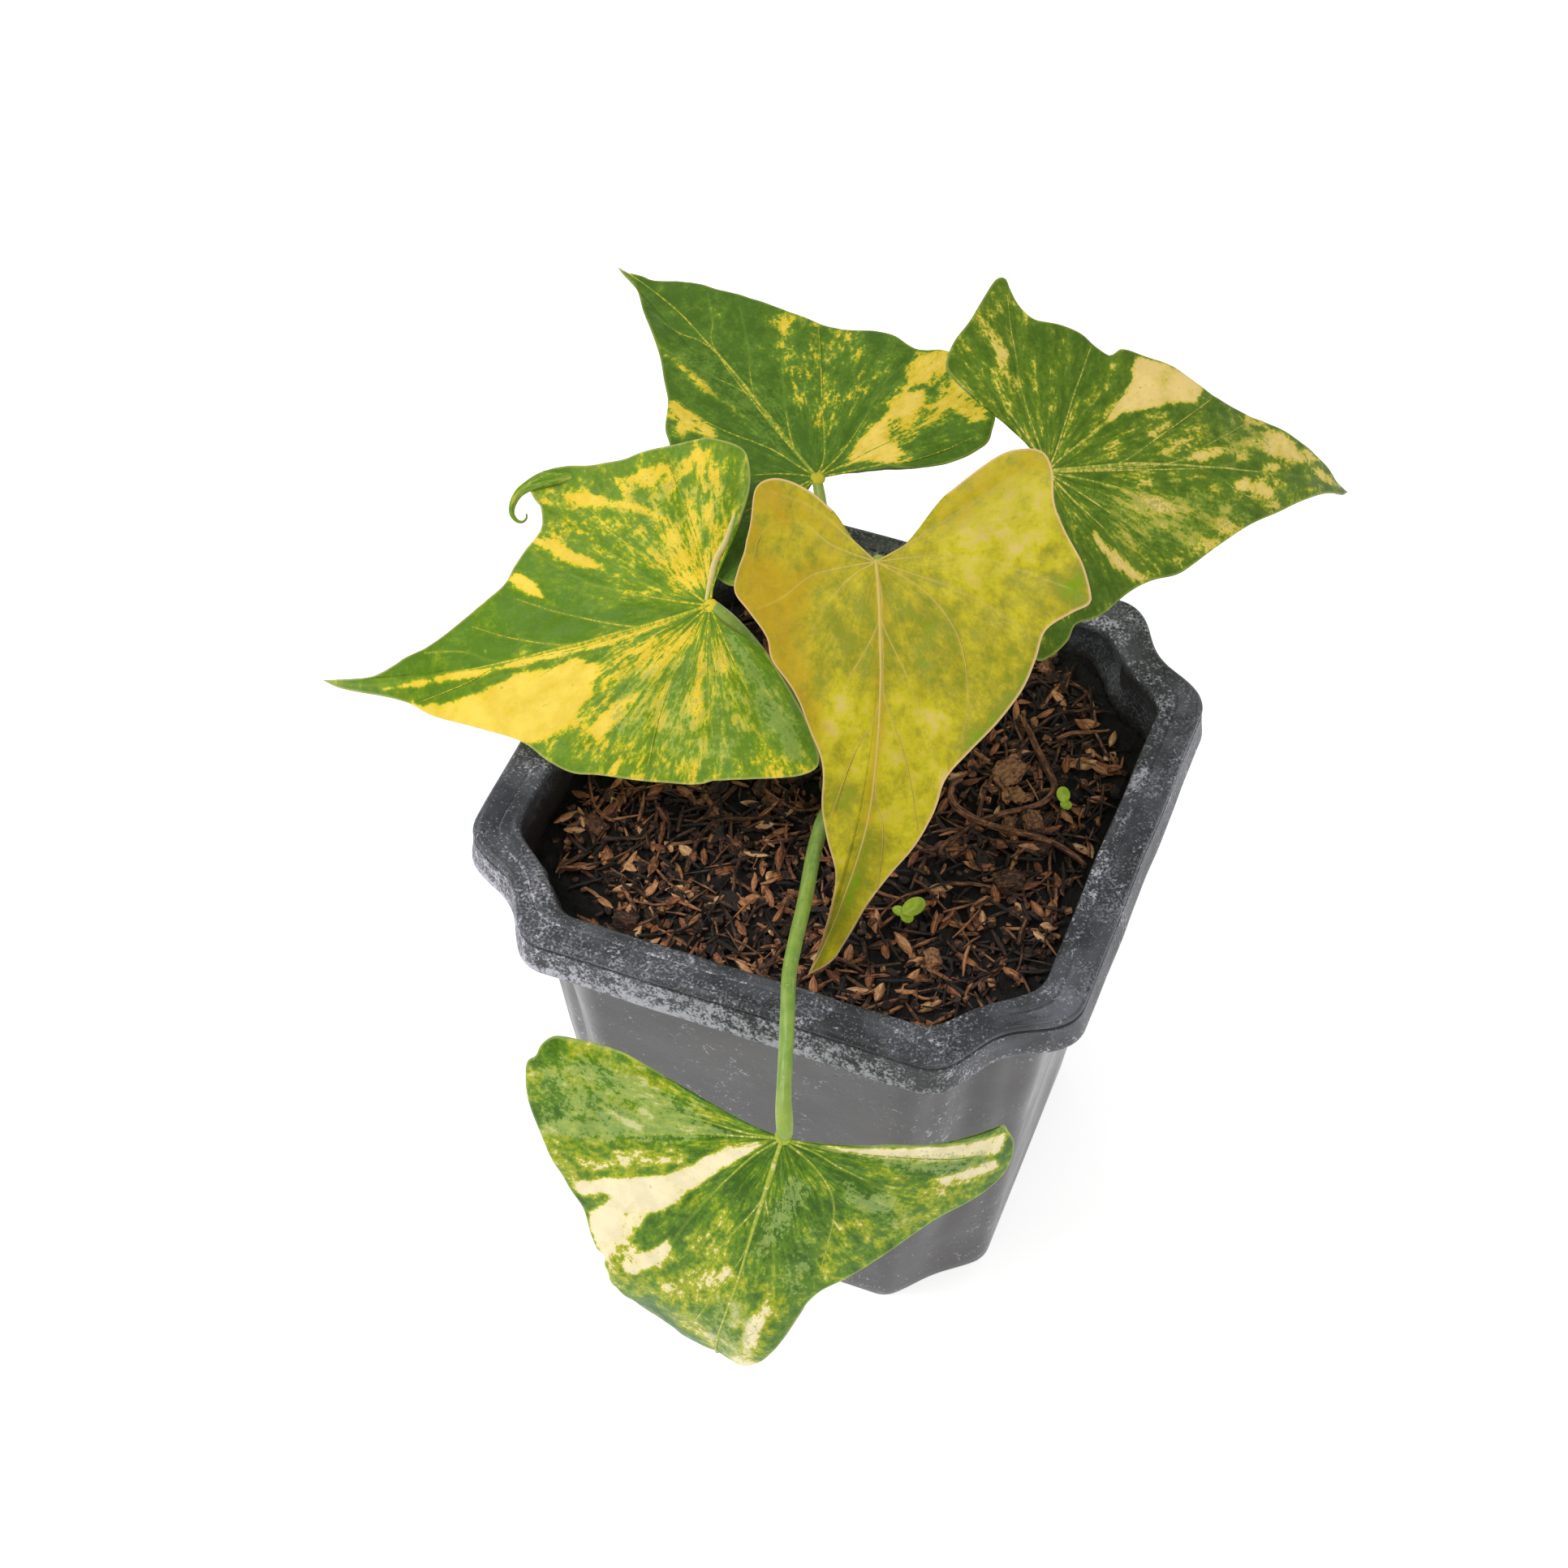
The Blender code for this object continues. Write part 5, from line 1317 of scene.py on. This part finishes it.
def make_pot(settings):
    """The pot: thin walls, a flange with an engraved line, a bead and a turned-down skirt."""
    profile = pot_profile()
    rings = [plan_ring(*row[:4]) for row in profile]
    n = len(rings[0])
    points = np.array(rings, float).reshape(-1, 3)
    zones = np.repeat([row[4] for row in profile], n)
    away = unit(points * (1, 1, 0))
    dents = np.array([noise.noise(p / 26.0) * 0.55 + noise.noise(p / 9.0 + Vector((3, 1, 4))) * 0.16
                      for p in map(Vector, points)])
    calm = np.clip((points[:, 2] - 2) / 20, 0, 1)
    calm *= np.clip(np.hypot(points[:, 0], points[:, 1]) / 40, 0, 1)
    points += away * (dents * calm)[:, None]
    flute = (zones == "body") * np.clip((points[:, 2] - 8) / 40, 0, 1)
    diag = np.abs(np.abs(points[:, 0]) - np.abs(points[:, 1])) / 16.0
    points -= away * (0.5 * flute * np.cos(np.clip(diag, 0, 1) * 2 * pi))[:, None]
    level = {"body": 0.0, "foot": 0.85, "skirt": 0.55, "groove": 0.0, "bead": 0.2, "flange": 0.2,
             "line": 0.5, "worn": 0.42, "inside": -0.1}
    chalk = np.array([level[zone] for zone in zones])
    back = np.clip((points[:, 0] + points[:, 1]) / 90, 0, 1)
    front = np.clip(-points[:, 1] / 60, 0, 1) * np.clip(1.0 - (points[:, 0] - 20) / 60, 0.35, 1)
    front = np.maximum(front, np.clip(-points[:, 0] / 70, 0, 1) * 0.8)
    chalk = chalk * (0.4 + 0.75 * np.where(zones == "worn", back, front))
    rim = np.where(zones == "body", 0.0, 1.0)
    # The groove under the bead and the inner wall just above the mix are darkened: soil stain and painted
    # shade.
    soiled = np.where(zones == "groove", 0.6, 0.0)
    soiled = np.where(zones == "inside", np.clip((SOIL_TOP + 9 - points[:, 2]) / 9, 0, 1), soiled)
    solid = Solid(("chalk", "rim", "soiled"))
    solid.add(points, band_faces(len(rings) - 1, n), chalk=chalk, rim=rim, soiled=soiled)
    add_floor(solid, points[:n], points[-n:])
    solid.make("nursery_pot", [pot_finish(settings)], ["pot"], 40)


def add_floor(solid, under, over):
    """The pot's floor with its four drain holes, between the two end rings."""
    add_floor_cells(solid, 28)
    for ring, z, up in ((under, 0.0, False), (over, FLOOR, True)):
        inner = pulled_in(ring, DRAIN_OFFSET * 1.5, z)
        faces = band_faces(1, len(ring))
        if not up:
            faces = [tuple(reversed(face)) for face in faces]
        solid.add(np.concatenate([ring, inner]), faces)


def pulled_in(ring, side, z):
    """A ring's points, moved towards the middle onto a square of half width side at height z."""
    scaled = ring[:, :2] * (side / np.abs(ring[:, :2]).max(1))[:, None]
    return np.concatenate([scaled, np.full((len(ring), 1), z)], 1)


def add_floor_cells(solid, turns):
    """Four square cells of the floor, each round one drain hole, upper and lower faces."""
    side = DRAIN_OFFSET * 0.75
    for sx in (-1, 1):
        for sy in (-1, 1):
            middle = np.array((sx * side, sy * side))
            hole = np.array((sx * DRAIN_OFFSET, sy * DRAIN_OFFSET))
            points, faces = [], []
            a = 2 * pi * np.arange(4 * turns) / (4 * turns) + pi / 4
            round_ = np.stack([np.cos(a), np.sin(a)], 1)
            square = round_ / np.abs(round_).max(1)[:, None]
            n = len(a)
            for z in (FLOOR, 0.0):
                for loop in (middle + square * side, hole + round_ * DRAIN_RADIUS):
                    points += [(x, y, z) for x, y in loop]
            for k in range(n):
                j = (k + 1) % n
                faces.append((k, j, n + j, n + k))
                faces.append((2 * n + k, 3 * n + k, 3 * n + j, 2 * n + j))
                faces.append((n + k, n + j, 3 * n + j, 3 * n + k))
            solid.add(points, faces)


def crown_distance(x, y):
    """How far a place is from the crown's middle in plan."""
    return hypot(x - CROWN_CENTRE[0], y - CROWN_CENTRE[1])


def soil_height(x, y):
    """The height of the mix at a place, without its clods."""
    h = noise.noise((x / 22.0, y / 22.0, 0)) * 1.2 + noise.noise((x / 8.0 + 7, y / 8.0 + 3, 1)) * 0.6
    mound = 2.0 * exp(-(crown_distance(x, y) / 16.0) ** 2)
    return SOIL_TOP + SOIL_SLOPE * (x + y) + SOIL_RELIEF * h + mound


def make_mix():
    """The peat that fills the pot, with a clodded surface."""
    solid = Solid()
    outer = np.array(plan_ring(*inner_size(SOIL_TOP), hollow(SOIL_TOP), 0.0))
    outer[:, :2] -= unit(outer[:, :2]) * 0.15
    n = len(outer)
    rows, walls = 86, 8
    points = []
    for i in range(rows):
        t = (i + 1) / rows
        for x, y, z in outer * t:
            fine = noise.fractal((x / 4.2, y / 4.2, 2.0), 0.8, 2.1, 4) * 1.5
            crumb = max(0.0, noise.noise((x / 1.7, y / 1.7, 9.0))) * 1.1
            edge = -1.5 * max(0.0, t - 0.93) / 0.07
            points.append((x, y, soil_height(x, y) + fine + crumb + edge - 0.6))
    for z in np.linspace(SOIL_TOP - 8, FLOOR + 0.2, walls):
        half, cut = inner_size(z)
        points += [(x, y, z) for x, y, _ in plan_ring(half - 0.15, cut - 0.2, hollow(z), z)]
    faces = band_faces(rows + walls - 1, n, flip=True)
    points.append((0, 0, soil_height(0, 0)))
    faces += [(k, (k + 1) % n, len(points) - 1) for k in range(n)]
    last = (rows + walls - 1) * n
    points.append((0, 0, FLOOR + 0.2))
    faces += [(last + (k + 1) % n, last + k, len(points) - 1) for k in range(n)]
    solid.add(points, faces)
    solid.make("potting_mix_peat", [mix_finish()], ["potting_mix"])


def free_spot(rng, edge=MIX_HALF - 1):
    """A place on the mix, clear of the crown and of the pot's cut corners."""
    while True:
        x, y = rng.uniform(-edge, edge), rng.uniform(-edge, edge)
        if abs(x) + abs(y) <= MIX_CUT - 2 and crown_distance(x, y) > CROWN_CLEAR:
            return x, y


def lying(rng, x, y, tilt, lift):
    """A matrix that lays a piece on the mix at x, y with a random turn."""
    slope_x = soil_height(x + 1.5, y) - soil_height(x - 1.5, y)
    slope_y = soil_height(x, y + 1.5) - soil_height(x, y - 1.5)
    out = Vector((-slope_x / 3, -slope_y / 3, 1)).normalized()
    lean = out.to_track_quat("Z", "Y").to_matrix().to_4x4()
    turn = Matrix.Rotation(rng.uniform(0, 2 * pi), 4, "Z")
    tip = Matrix.Rotation(radians(rng.uniform(-tilt, tilt)), 4, "Y")
    roll = Matrix.Rotation(radians(rng.uniform(-tilt * 2, tilt * 2)), 4, "X")
    return Matrix.Translation((x, y, soil_height(x, y) + lift)) @ lean @ turn @ tip @ roll


def moved(matrix, points):
    """Points moved by a matrix."""
    m = np.array(matrix)
    return np.asarray(points, float) @ m[:3, :3].T + m[:3, 3]


def husk_shape(long, wide, deep, ridge):
    """A pointed grain husk with lengthwise ridges."""
    rows, turns = 10, 12
    points, faces = [(-long / 2, 0, deep * 0.1)], []
    for i in range(1, rows):
        t = i / rows
        swell = sin(pi * t) ** 0.85
        for k in range(turns):
            a = 2 * pi * k / turns
            r = 1 + ridge * cos(4 * a)
            lift = 0.2 * deep * (2 * t - 1) ** 2
            points.append((long * (t - 0.5), wide / 2 * swell * r * cos(a),
                           deep / 2 * swell * r * sin(a) + lift))
    points.append((long / 2, 0, deep * 0.3))
    for k in range(turns):
        j = (k + 1) % turns
        faces.append((0, 1 + j, 1 + k))
        for i in range(rows - 2):
            a = 1 + i * turns
            faces.append((a + k, a + j, a + j + turns, a + k + turns))
        a = 1 + (rows - 2) * turns
        faces.append((a + k, a + j, len(points) - 1))
    return np.array(points), faces


def lump_shape(rng, size, flat, steps, rugged):
    """A crumb or chip: a rounded box with steps cuts to a side and a rugged face."""
    line = np.linspace(-1, 1, steps + 1)
    shift = Vector((rng.uniform(0, 50), rng.uniform(0, 50), rng.uniform(0, 50)))
    index, points, faces = {}, [], []
    for i in range(steps + 1):
        for j in range(steps + 1):
            for k in range(steps + 1):
                if 0 < i < steps and 0 < j < steps and 0 < k < steps:
                    continue
                p = Vector((line[i], line[j], line[k]))
                p = p * (0.5 + 0.62 / p.length)
                p = p * (1 + rugged * noise.noise(p * 1.3 + shift)
                         + 0.5 * rugged * noise.noise(p * 3.7 + shift))
                index[i, j, k] = len(points)
                points.append((p[0] * size / 2, p[1] * size * 0.36, p[2] * size * flat / 2))
    for axis in range(3):
        for end in (0, steps):
            for a in range(steps):
                for b in range(steps):
                    quad = []
                    for da, db in ((0, 0), (1, 0), (1, 1), (0, 1)):
                        where = [a + da, b + db]
                        where.insert(axis, end)
                        quad.append(index[tuple(where)])
                    if (end == steps) == (axis == 1):
                        quad.reverse()
                    faces.append(tuple(quad))
    return np.array(points), faces


def lay(solid, rng, spot, shape, faces, tone, tilt, sunk):
    """Lays a loose piece on the mix, turned and tipped at random and up to sunk deep."""
    where = lying(rng, *spot, tilt, rng.uniform(-sunk, 1.2))
    solid.add(moved(where, shape), faces, tone=tone, skin=shape + (0, 0, tone * TONE_SHIFT))


def make_husks(settings):
    """The grain husks."""
    rng = random.Random(SEED + 1)
    solid = Solid(("tone",), ("skin",))
    long = settings.husk_length / MM
    for _ in range(settings.husks):
        spot = free_spot(rng)
        shape, faces = husk_shape(long * rng.uniform(0.7, 1.15), rng.uniform(1.7, 2.7),
                                  rng.uniform(1.0, 1.6), rng.uniform(0.03, 0.09))
        lay(solid, rng, spot, shape, faces, rng.random() ** 1.5, 20, 0.3)
    finish = debris_finish("grain_husk", [
        (0.1, paint(84, 46, 26)), (0.35, paint(152, 92, 54)), (0.62, paint(202, 142, 90)),
        (0.95, paint(240, 204, 156))], (0.25, 2.4, 2.4), 0.3)
    solid.make("potting_mix_husks", [finish], [])


def wander(rng, x, y, long, radius):
    """The route of a curved root that lies on the mix."""
    turn = rng.uniform(0, 2 * pi)
    bend = rng.uniform(-0.1, 0.1)
    steps = max(6, int(long / 1.6))
    lift = rng.uniform(0.2, 1.2) + radius * 0.5
    route = []
    for i in range(steps + 1):
        route.append((x, y, soil_height(x, y) + lift + 0.4 * sin(i * 0.7 + turn)))
        x += cos(turn) * long / steps
        y += sin(turn) * long / steps
        turn += bend + rng.uniform(-0.2, 0.2)
        if max(abs(x), abs(y)) > MIX_HALF or abs(x) + abs(y) > MIX_CUT or crown_distance(x, y) < 10:
            break
    return route


def make_fibres(settings):
    """Short sticks, loose roots and the long roots."""
    rng = random.Random(SEED + 2)
    solid = Solid(("tone",), ("skin",))
    for _ in range(settings.fibres):
        x, y = free_spot(rng, MIX_HALF - 3)
        long = rng.uniform(3.0, 10.5)
        radius = rng.uniform(0.22, 0.68)
        sag = rng.uniform(-0.5, 0.5)
        stick = [(-long / 2, 0, 0), (-long / 6, sag, 0), (long / 6, sag * 0.7, 0), (long / 2, 0, 0)]
        route = moved(lying(rng, x, y, 16, rng.uniform(-0.2, 1.9)), stick)
        solid.add_tube(route, (radius * 0.7, radius, radius * 0.9, radius * 0.45), 6,
                       rng.uniform(0.45, 0.9), tone=rng.random() ** 2.6)
    for _ in range(settings.roots):
        x, y = free_spot(rng)
        radius = rng.uniform(0.35, 0.7)
        route = wander(rng, x, y, rng.uniform(14, 36), radius)
        if len(route) > 4:
            solid.add_tube(route, (radius, radius * 0.9, radius * 0.5), 7, tone=0.25 + 0.5 * rng.random())
    for line in ROOTS:
        flat = smooth_through(line, 5)
        route = [(x, y, soil_height(x, y) + 1.9 + 0.3 * sin(i * 0.5)) for i, (x, y) in enumerate(flat)]
        solid.add_tube(route, (0.7, 0.95, 0.85, 0.6), 9, tone=0.62)
    finish = debris_finish("root_fibre", [
        (0.1, paint(12, 9, 7)), (0.34, paint(38, 26, 19)), (0.56, paint(108, 68, 44)),
        (0.85, paint(190, 130, 84))], (0.22, 2.6, 2.6))
    solid.make("potting_mix_fibres", [finish], [])


def make_chips(settings):
    """Bark: the larger chunks, the chips and the crumbs between them."""
    rng = random.Random(SEED + 3)
    solid = Solid(("tone",), ("skin",))
    for x, y, size, flat, tone in CHUNKS:
        shape, faces = lump_shape(rng, size, flat, 12, 0.34)
        solid.add(moved(lying(rng, x, y, 8, 1.2), shape), faces, tone=tone, skin=shape)
    for i in range(settings.chips + settings.crumbs):
        spot = free_spot(rng)
        chip = i < settings.chips
        size = rng.uniform(2.6, 5.5) if chip else rng.uniform(0.8, 2.6)
        shape, faces = lump_shape(rng, size, rng.uniform(0.35, 0.7), 6 if chip else 2, 0.36)
        lay(solid, rng, spot, shape, faces, rng.random() ** 1.6, 24, 0.2)
    finish = debris_finish("bark_chip", [
        (0.1, paint(18, 13, 10)), (0.4, paint(62, 41, 29)), (0.62, paint(124, 80, 52)),
        (0.9, paint(190, 138, 92))], (0.8, 1.7, 1.7), 0.7)
    solid.make("potting_mix_chips", [finish], [], 50)


def make_seedling(name, spot, leaves, green):
    """A weed seedling: a thin stem and round cupped leaves."""
    solid = Solid(("vein",))
    x, y = spot
    top = min(node_box(name)[1][2] - 1.5, soil_height(x, y) + 2.2)
    foot = (x, y, soil_height(x, y) - 3)
    solid.add_tube([foot, (x + 0.2, y, top - 1.5), (x, y, top)], (0.5, 0.4, 0.3), 8, vein=0.8)
    for turn, radius, pitch in leaves:
        a, p = radians(turn), radians(pitch)
        along = np.array((cos(a) * cos(p), sin(a) * cos(p), sin(p)))
        side = np.array((-sin(a), cos(a), 0.0))
        up = np.cross(along, side)
        rows, turns = 8, 26
        points, veins = [], []
        for lift in (0.0, -0.3):
            points.append(np.array((x, y, top)) + along * radius + up * lift)
            veins.append(0.5)
            for i in range(1, rows + 1):
                s = i / rows
                for k in range(turns):
                    b = 2 * pi * k / turns
                    u, v = s * radius * 1.1 * cos(b), s * radius * 0.86 * sin(b)
                    cup = radius * (0.24 * s * s - 0.14 * s ** 4 * cos(b)) - 0.15 * exp(-(v / 0.3) ** 2)
                    points.append(np.array((x, y, top)) + along * (radius + u) + side * v
                                  + up * (cup + lift))
                    veins.append(exp(-(v / 0.35) ** 2) if cos(b) < 0.3 else 0.0)
        block = rows * turns + 1
        faces = []
        for k in range(turns):
            j = (k + 1) % turns
            faces.append((0, 1 + k, 1 + j))
            faces.append((block, block + 1 + j, block + 1 + k))
            for i in range(rows - 1):
                q = 1 + i * turns
                faces.append((q + k, q + k + turns, q + j + turns, q + j))
                faces.append((block + q + k, block + q + j, block + q + j + turns, block + q + k + turns))
            q = 1 + (rows - 1) * turns
            faces.append((q + k, block + q + k, block + q + j, q + j))
        solid.add(points, faces, vein=veins)
    solid.make(name + "_plant", [green], [name], 55)


class ANTHURIUM_OT_pot(bpy.types.Operator):
    """Build the square pot"""

    bl_idname = "anthurium.pot"
    bl_label = "Pot"

    def execute(self, context):
        make_pot(context.scene.anthurium_pot)
        return {"FINISHED"}


class ANTHURIUM_OT_mix(bpy.types.Operator):
    """Build the peat and everything that lies on it"""

    bl_idname = "anthurium.mix"
    bl_label = "Potting mix"

    def execute(self, context):
        settings = context.scene.anthurium_mix
        make_mix()
        make_husks(settings)
        make_fibres(settings)
        make_chips(settings)
        return {"FINISHED"}


class ANTHURIUM_OT_seedlings(bpy.types.Operator):
    """Build the two weed seedlings"""

    bl_idname = "anthurium.seedlings"
    bl_label = "Seedlings"

    def execute(self, context):
        green = seedling_finish(context.scene.anthurium_plant)
        for name, spot, leaves in SEEDLINGS:
            make_seedling(name, spot, leaves, green)
        return {"FINISHED"}


class ANTHURIUM_OT_crown(bpy.types.Operator):
    """Build the crown that the stalks grow from"""

    bl_idname = "anthurium.crown"
    bl_label = "Crown"

    def execute(self, context):
        make_crown()
        return {"FINISHED"}


class ANTHURIUM_OT_stalks(bpy.types.Operator):
    """Build the five leaf stalks"""

    bl_idname = "anthurium.stalks"
    bl_label = "Leaf stalks"

    def execute(self, context):
        settings = context.scene.anthurium_plant
        skin = stalk_finish(settings)
        for leaf in LEAVES:
            make_stalk(leaf, settings, skin)
        return {"FINISHED"}


class ANTHURIUM_OT_blades(bpy.types.Operator):
    """Build the five leaf blades"""

    bl_idname = "anthurium.blades"
    bl_label = "Leaf blades"

    def execute(self, context):
        for leaf in LEAVES:
            make_blade(leaf, context.scene.anthurium_plant)
        return {"FINISHED"}


class ANTHURIUM_OT_stage(bpy.types.Operator):
    """Build the floor, lights and camera"""

    bl_idname = "anthurium.stage"
    bl_label = "Stage"

    def execute(self, context):
        make_stage(context.scene, context.scene.anthurium_stage)
        return {"FINISHED"}


def make_stage(scene, settings):
    """A pale floor, a white sky, soft lights and the camera."""
    mesh = bpy.data.meshes.new("floor")
    mesh.from_pydata([(-4, -4, 0), (4, -4, 0), (4, 4, 0), (-4, 4, 0)], [], [(0, 1, 2, 3)])
    floor = bpy.data.objects.new("floor", mesh)
    scene.collection.objects.link(floor)
    f = Finish("studio_floor")
    cloud = f.noise(f.place(), 3.0, 2.0)
    colour = f.blend(cloud, settings.floor_colour, [c * 0.99 for c in settings.floor_colour])
    mesh.materials.append(f.wear(Base_Color=colour, Roughness=0.9, Emission_Color=(1.0, 1.0, 1.0),
                                 Emission_Strength=0.62))
    world = bpy.data.worlds.new("white_studio")
    world.use_nodes = True
    sky = world.node_tree.nodes["Background"]
    sky.inputs[0].default_value = (1.0, 1.0, 1.0, 1.0)
    sky.inputs[1].default_value = settings.sky_strength
    scene.world = world
    scene.view_settings.view_transform = "Standard"
    for name, where, size, power in (("key_light", (-0.55, -0.35, 1.1), 0.7, settings.key_power),
                                     ("fill_light", (0.9, -0.7, 0.8), 0.9, settings.key_power * 0.35)):
        light = bpy.data.lights.new(name, "AREA")
        light.shape = "DISK"
        light.size = size
        light.energy = power
        ob = bpy.data.objects.new(name, light)
        ob.location = where
        aim = Vector((0, 0, 0.12)) - Vector(where)
        ob.rotation_euler = aim.to_track_quat("-Z", "Y").to_euler()
        scene.collection.objects.link(ob)
    camera = bpy.data.cameras.new("photo_camera")
    camera.sensor_width = 36.0
    camera.lens = settings.lens
    camera.clip_start = 0.05
    camera.clip_end = 20.0
    ob = bpy.data.objects.new("photo_camera", camera)
    right = Vector((0.93329, 0.35912, 0.0))
    up = Vector((-0.27684, 0.71947, 0.63697))
    back = Vector((0.22875, -0.59448, 0.77089))
    turn = Matrix((right, up, back)).transposed().to_4x4()
    ob.matrix_world = Matrix.Translation((0.165733, -0.470128, 0.737140)) @ turn
    scene.collection.objects.link(ob)
    scene.camera = ob


class ANTHURIUM_PT_panel(bpy.types.Panel):
    """Lists the builders and their settings"""

    bl_idname = "ANTHURIUM_PT_panel"
    bl_label = "Potted anthurium"
    bl_space_type = "VIEW_3D"
    bl_region_type = "UI"
    bl_category = "Anthurium"

    def draw(self, context):
        for kind in BUILDERS:
            self.layout.operator(kind.bl_idname)
        for key, group in SETTINGS.items():
            box = self.layout.box()
            box.label(text=group.bl_rna.name)
            for field in group.__annotations__:
                box.prop(getattr(context.scene, key), field)


BUILDERS = (
    ANTHURIUM_OT_pot, ANTHURIUM_OT_mix, ANTHURIUM_OT_seedlings, ANTHURIUM_OT_crown,
    ANTHURIUM_OT_stalks, ANTHURIUM_OT_blades, ANTHURIUM_OT_stage)
SETTINGS = {
    "anthurium_plant": PlantSettings, "anthurium_pot": PotSettings, "anthurium_mix": MixSettings,
    "anthurium_stage": StageSettings}


def register():
    for kind in (*SETTINGS.values(), *BUILDERS, ANTHURIUM_PT_panel):
        bpy.utils.register_class(kind)
    for key, group in SETTINGS.items():
        setattr(bpy.types.Scene, key, PointerProperty(type=group))


def unregister():
    for key in SETTINGS:
        delattr(bpy.types.Scene, key)
    for kind in reversed((*SETTINGS.values(), *BUILDERS, ANTHURIUM_PT_panel)):
        bpy.utils.unregister_class(kind)


def main():
    register()
    for kind in BUILDERS:
        group, action = kind.bl_idname.split(".")
        getattr(getattr(bpy.ops, group), action)()


if __name__ == "__main__":
    main()
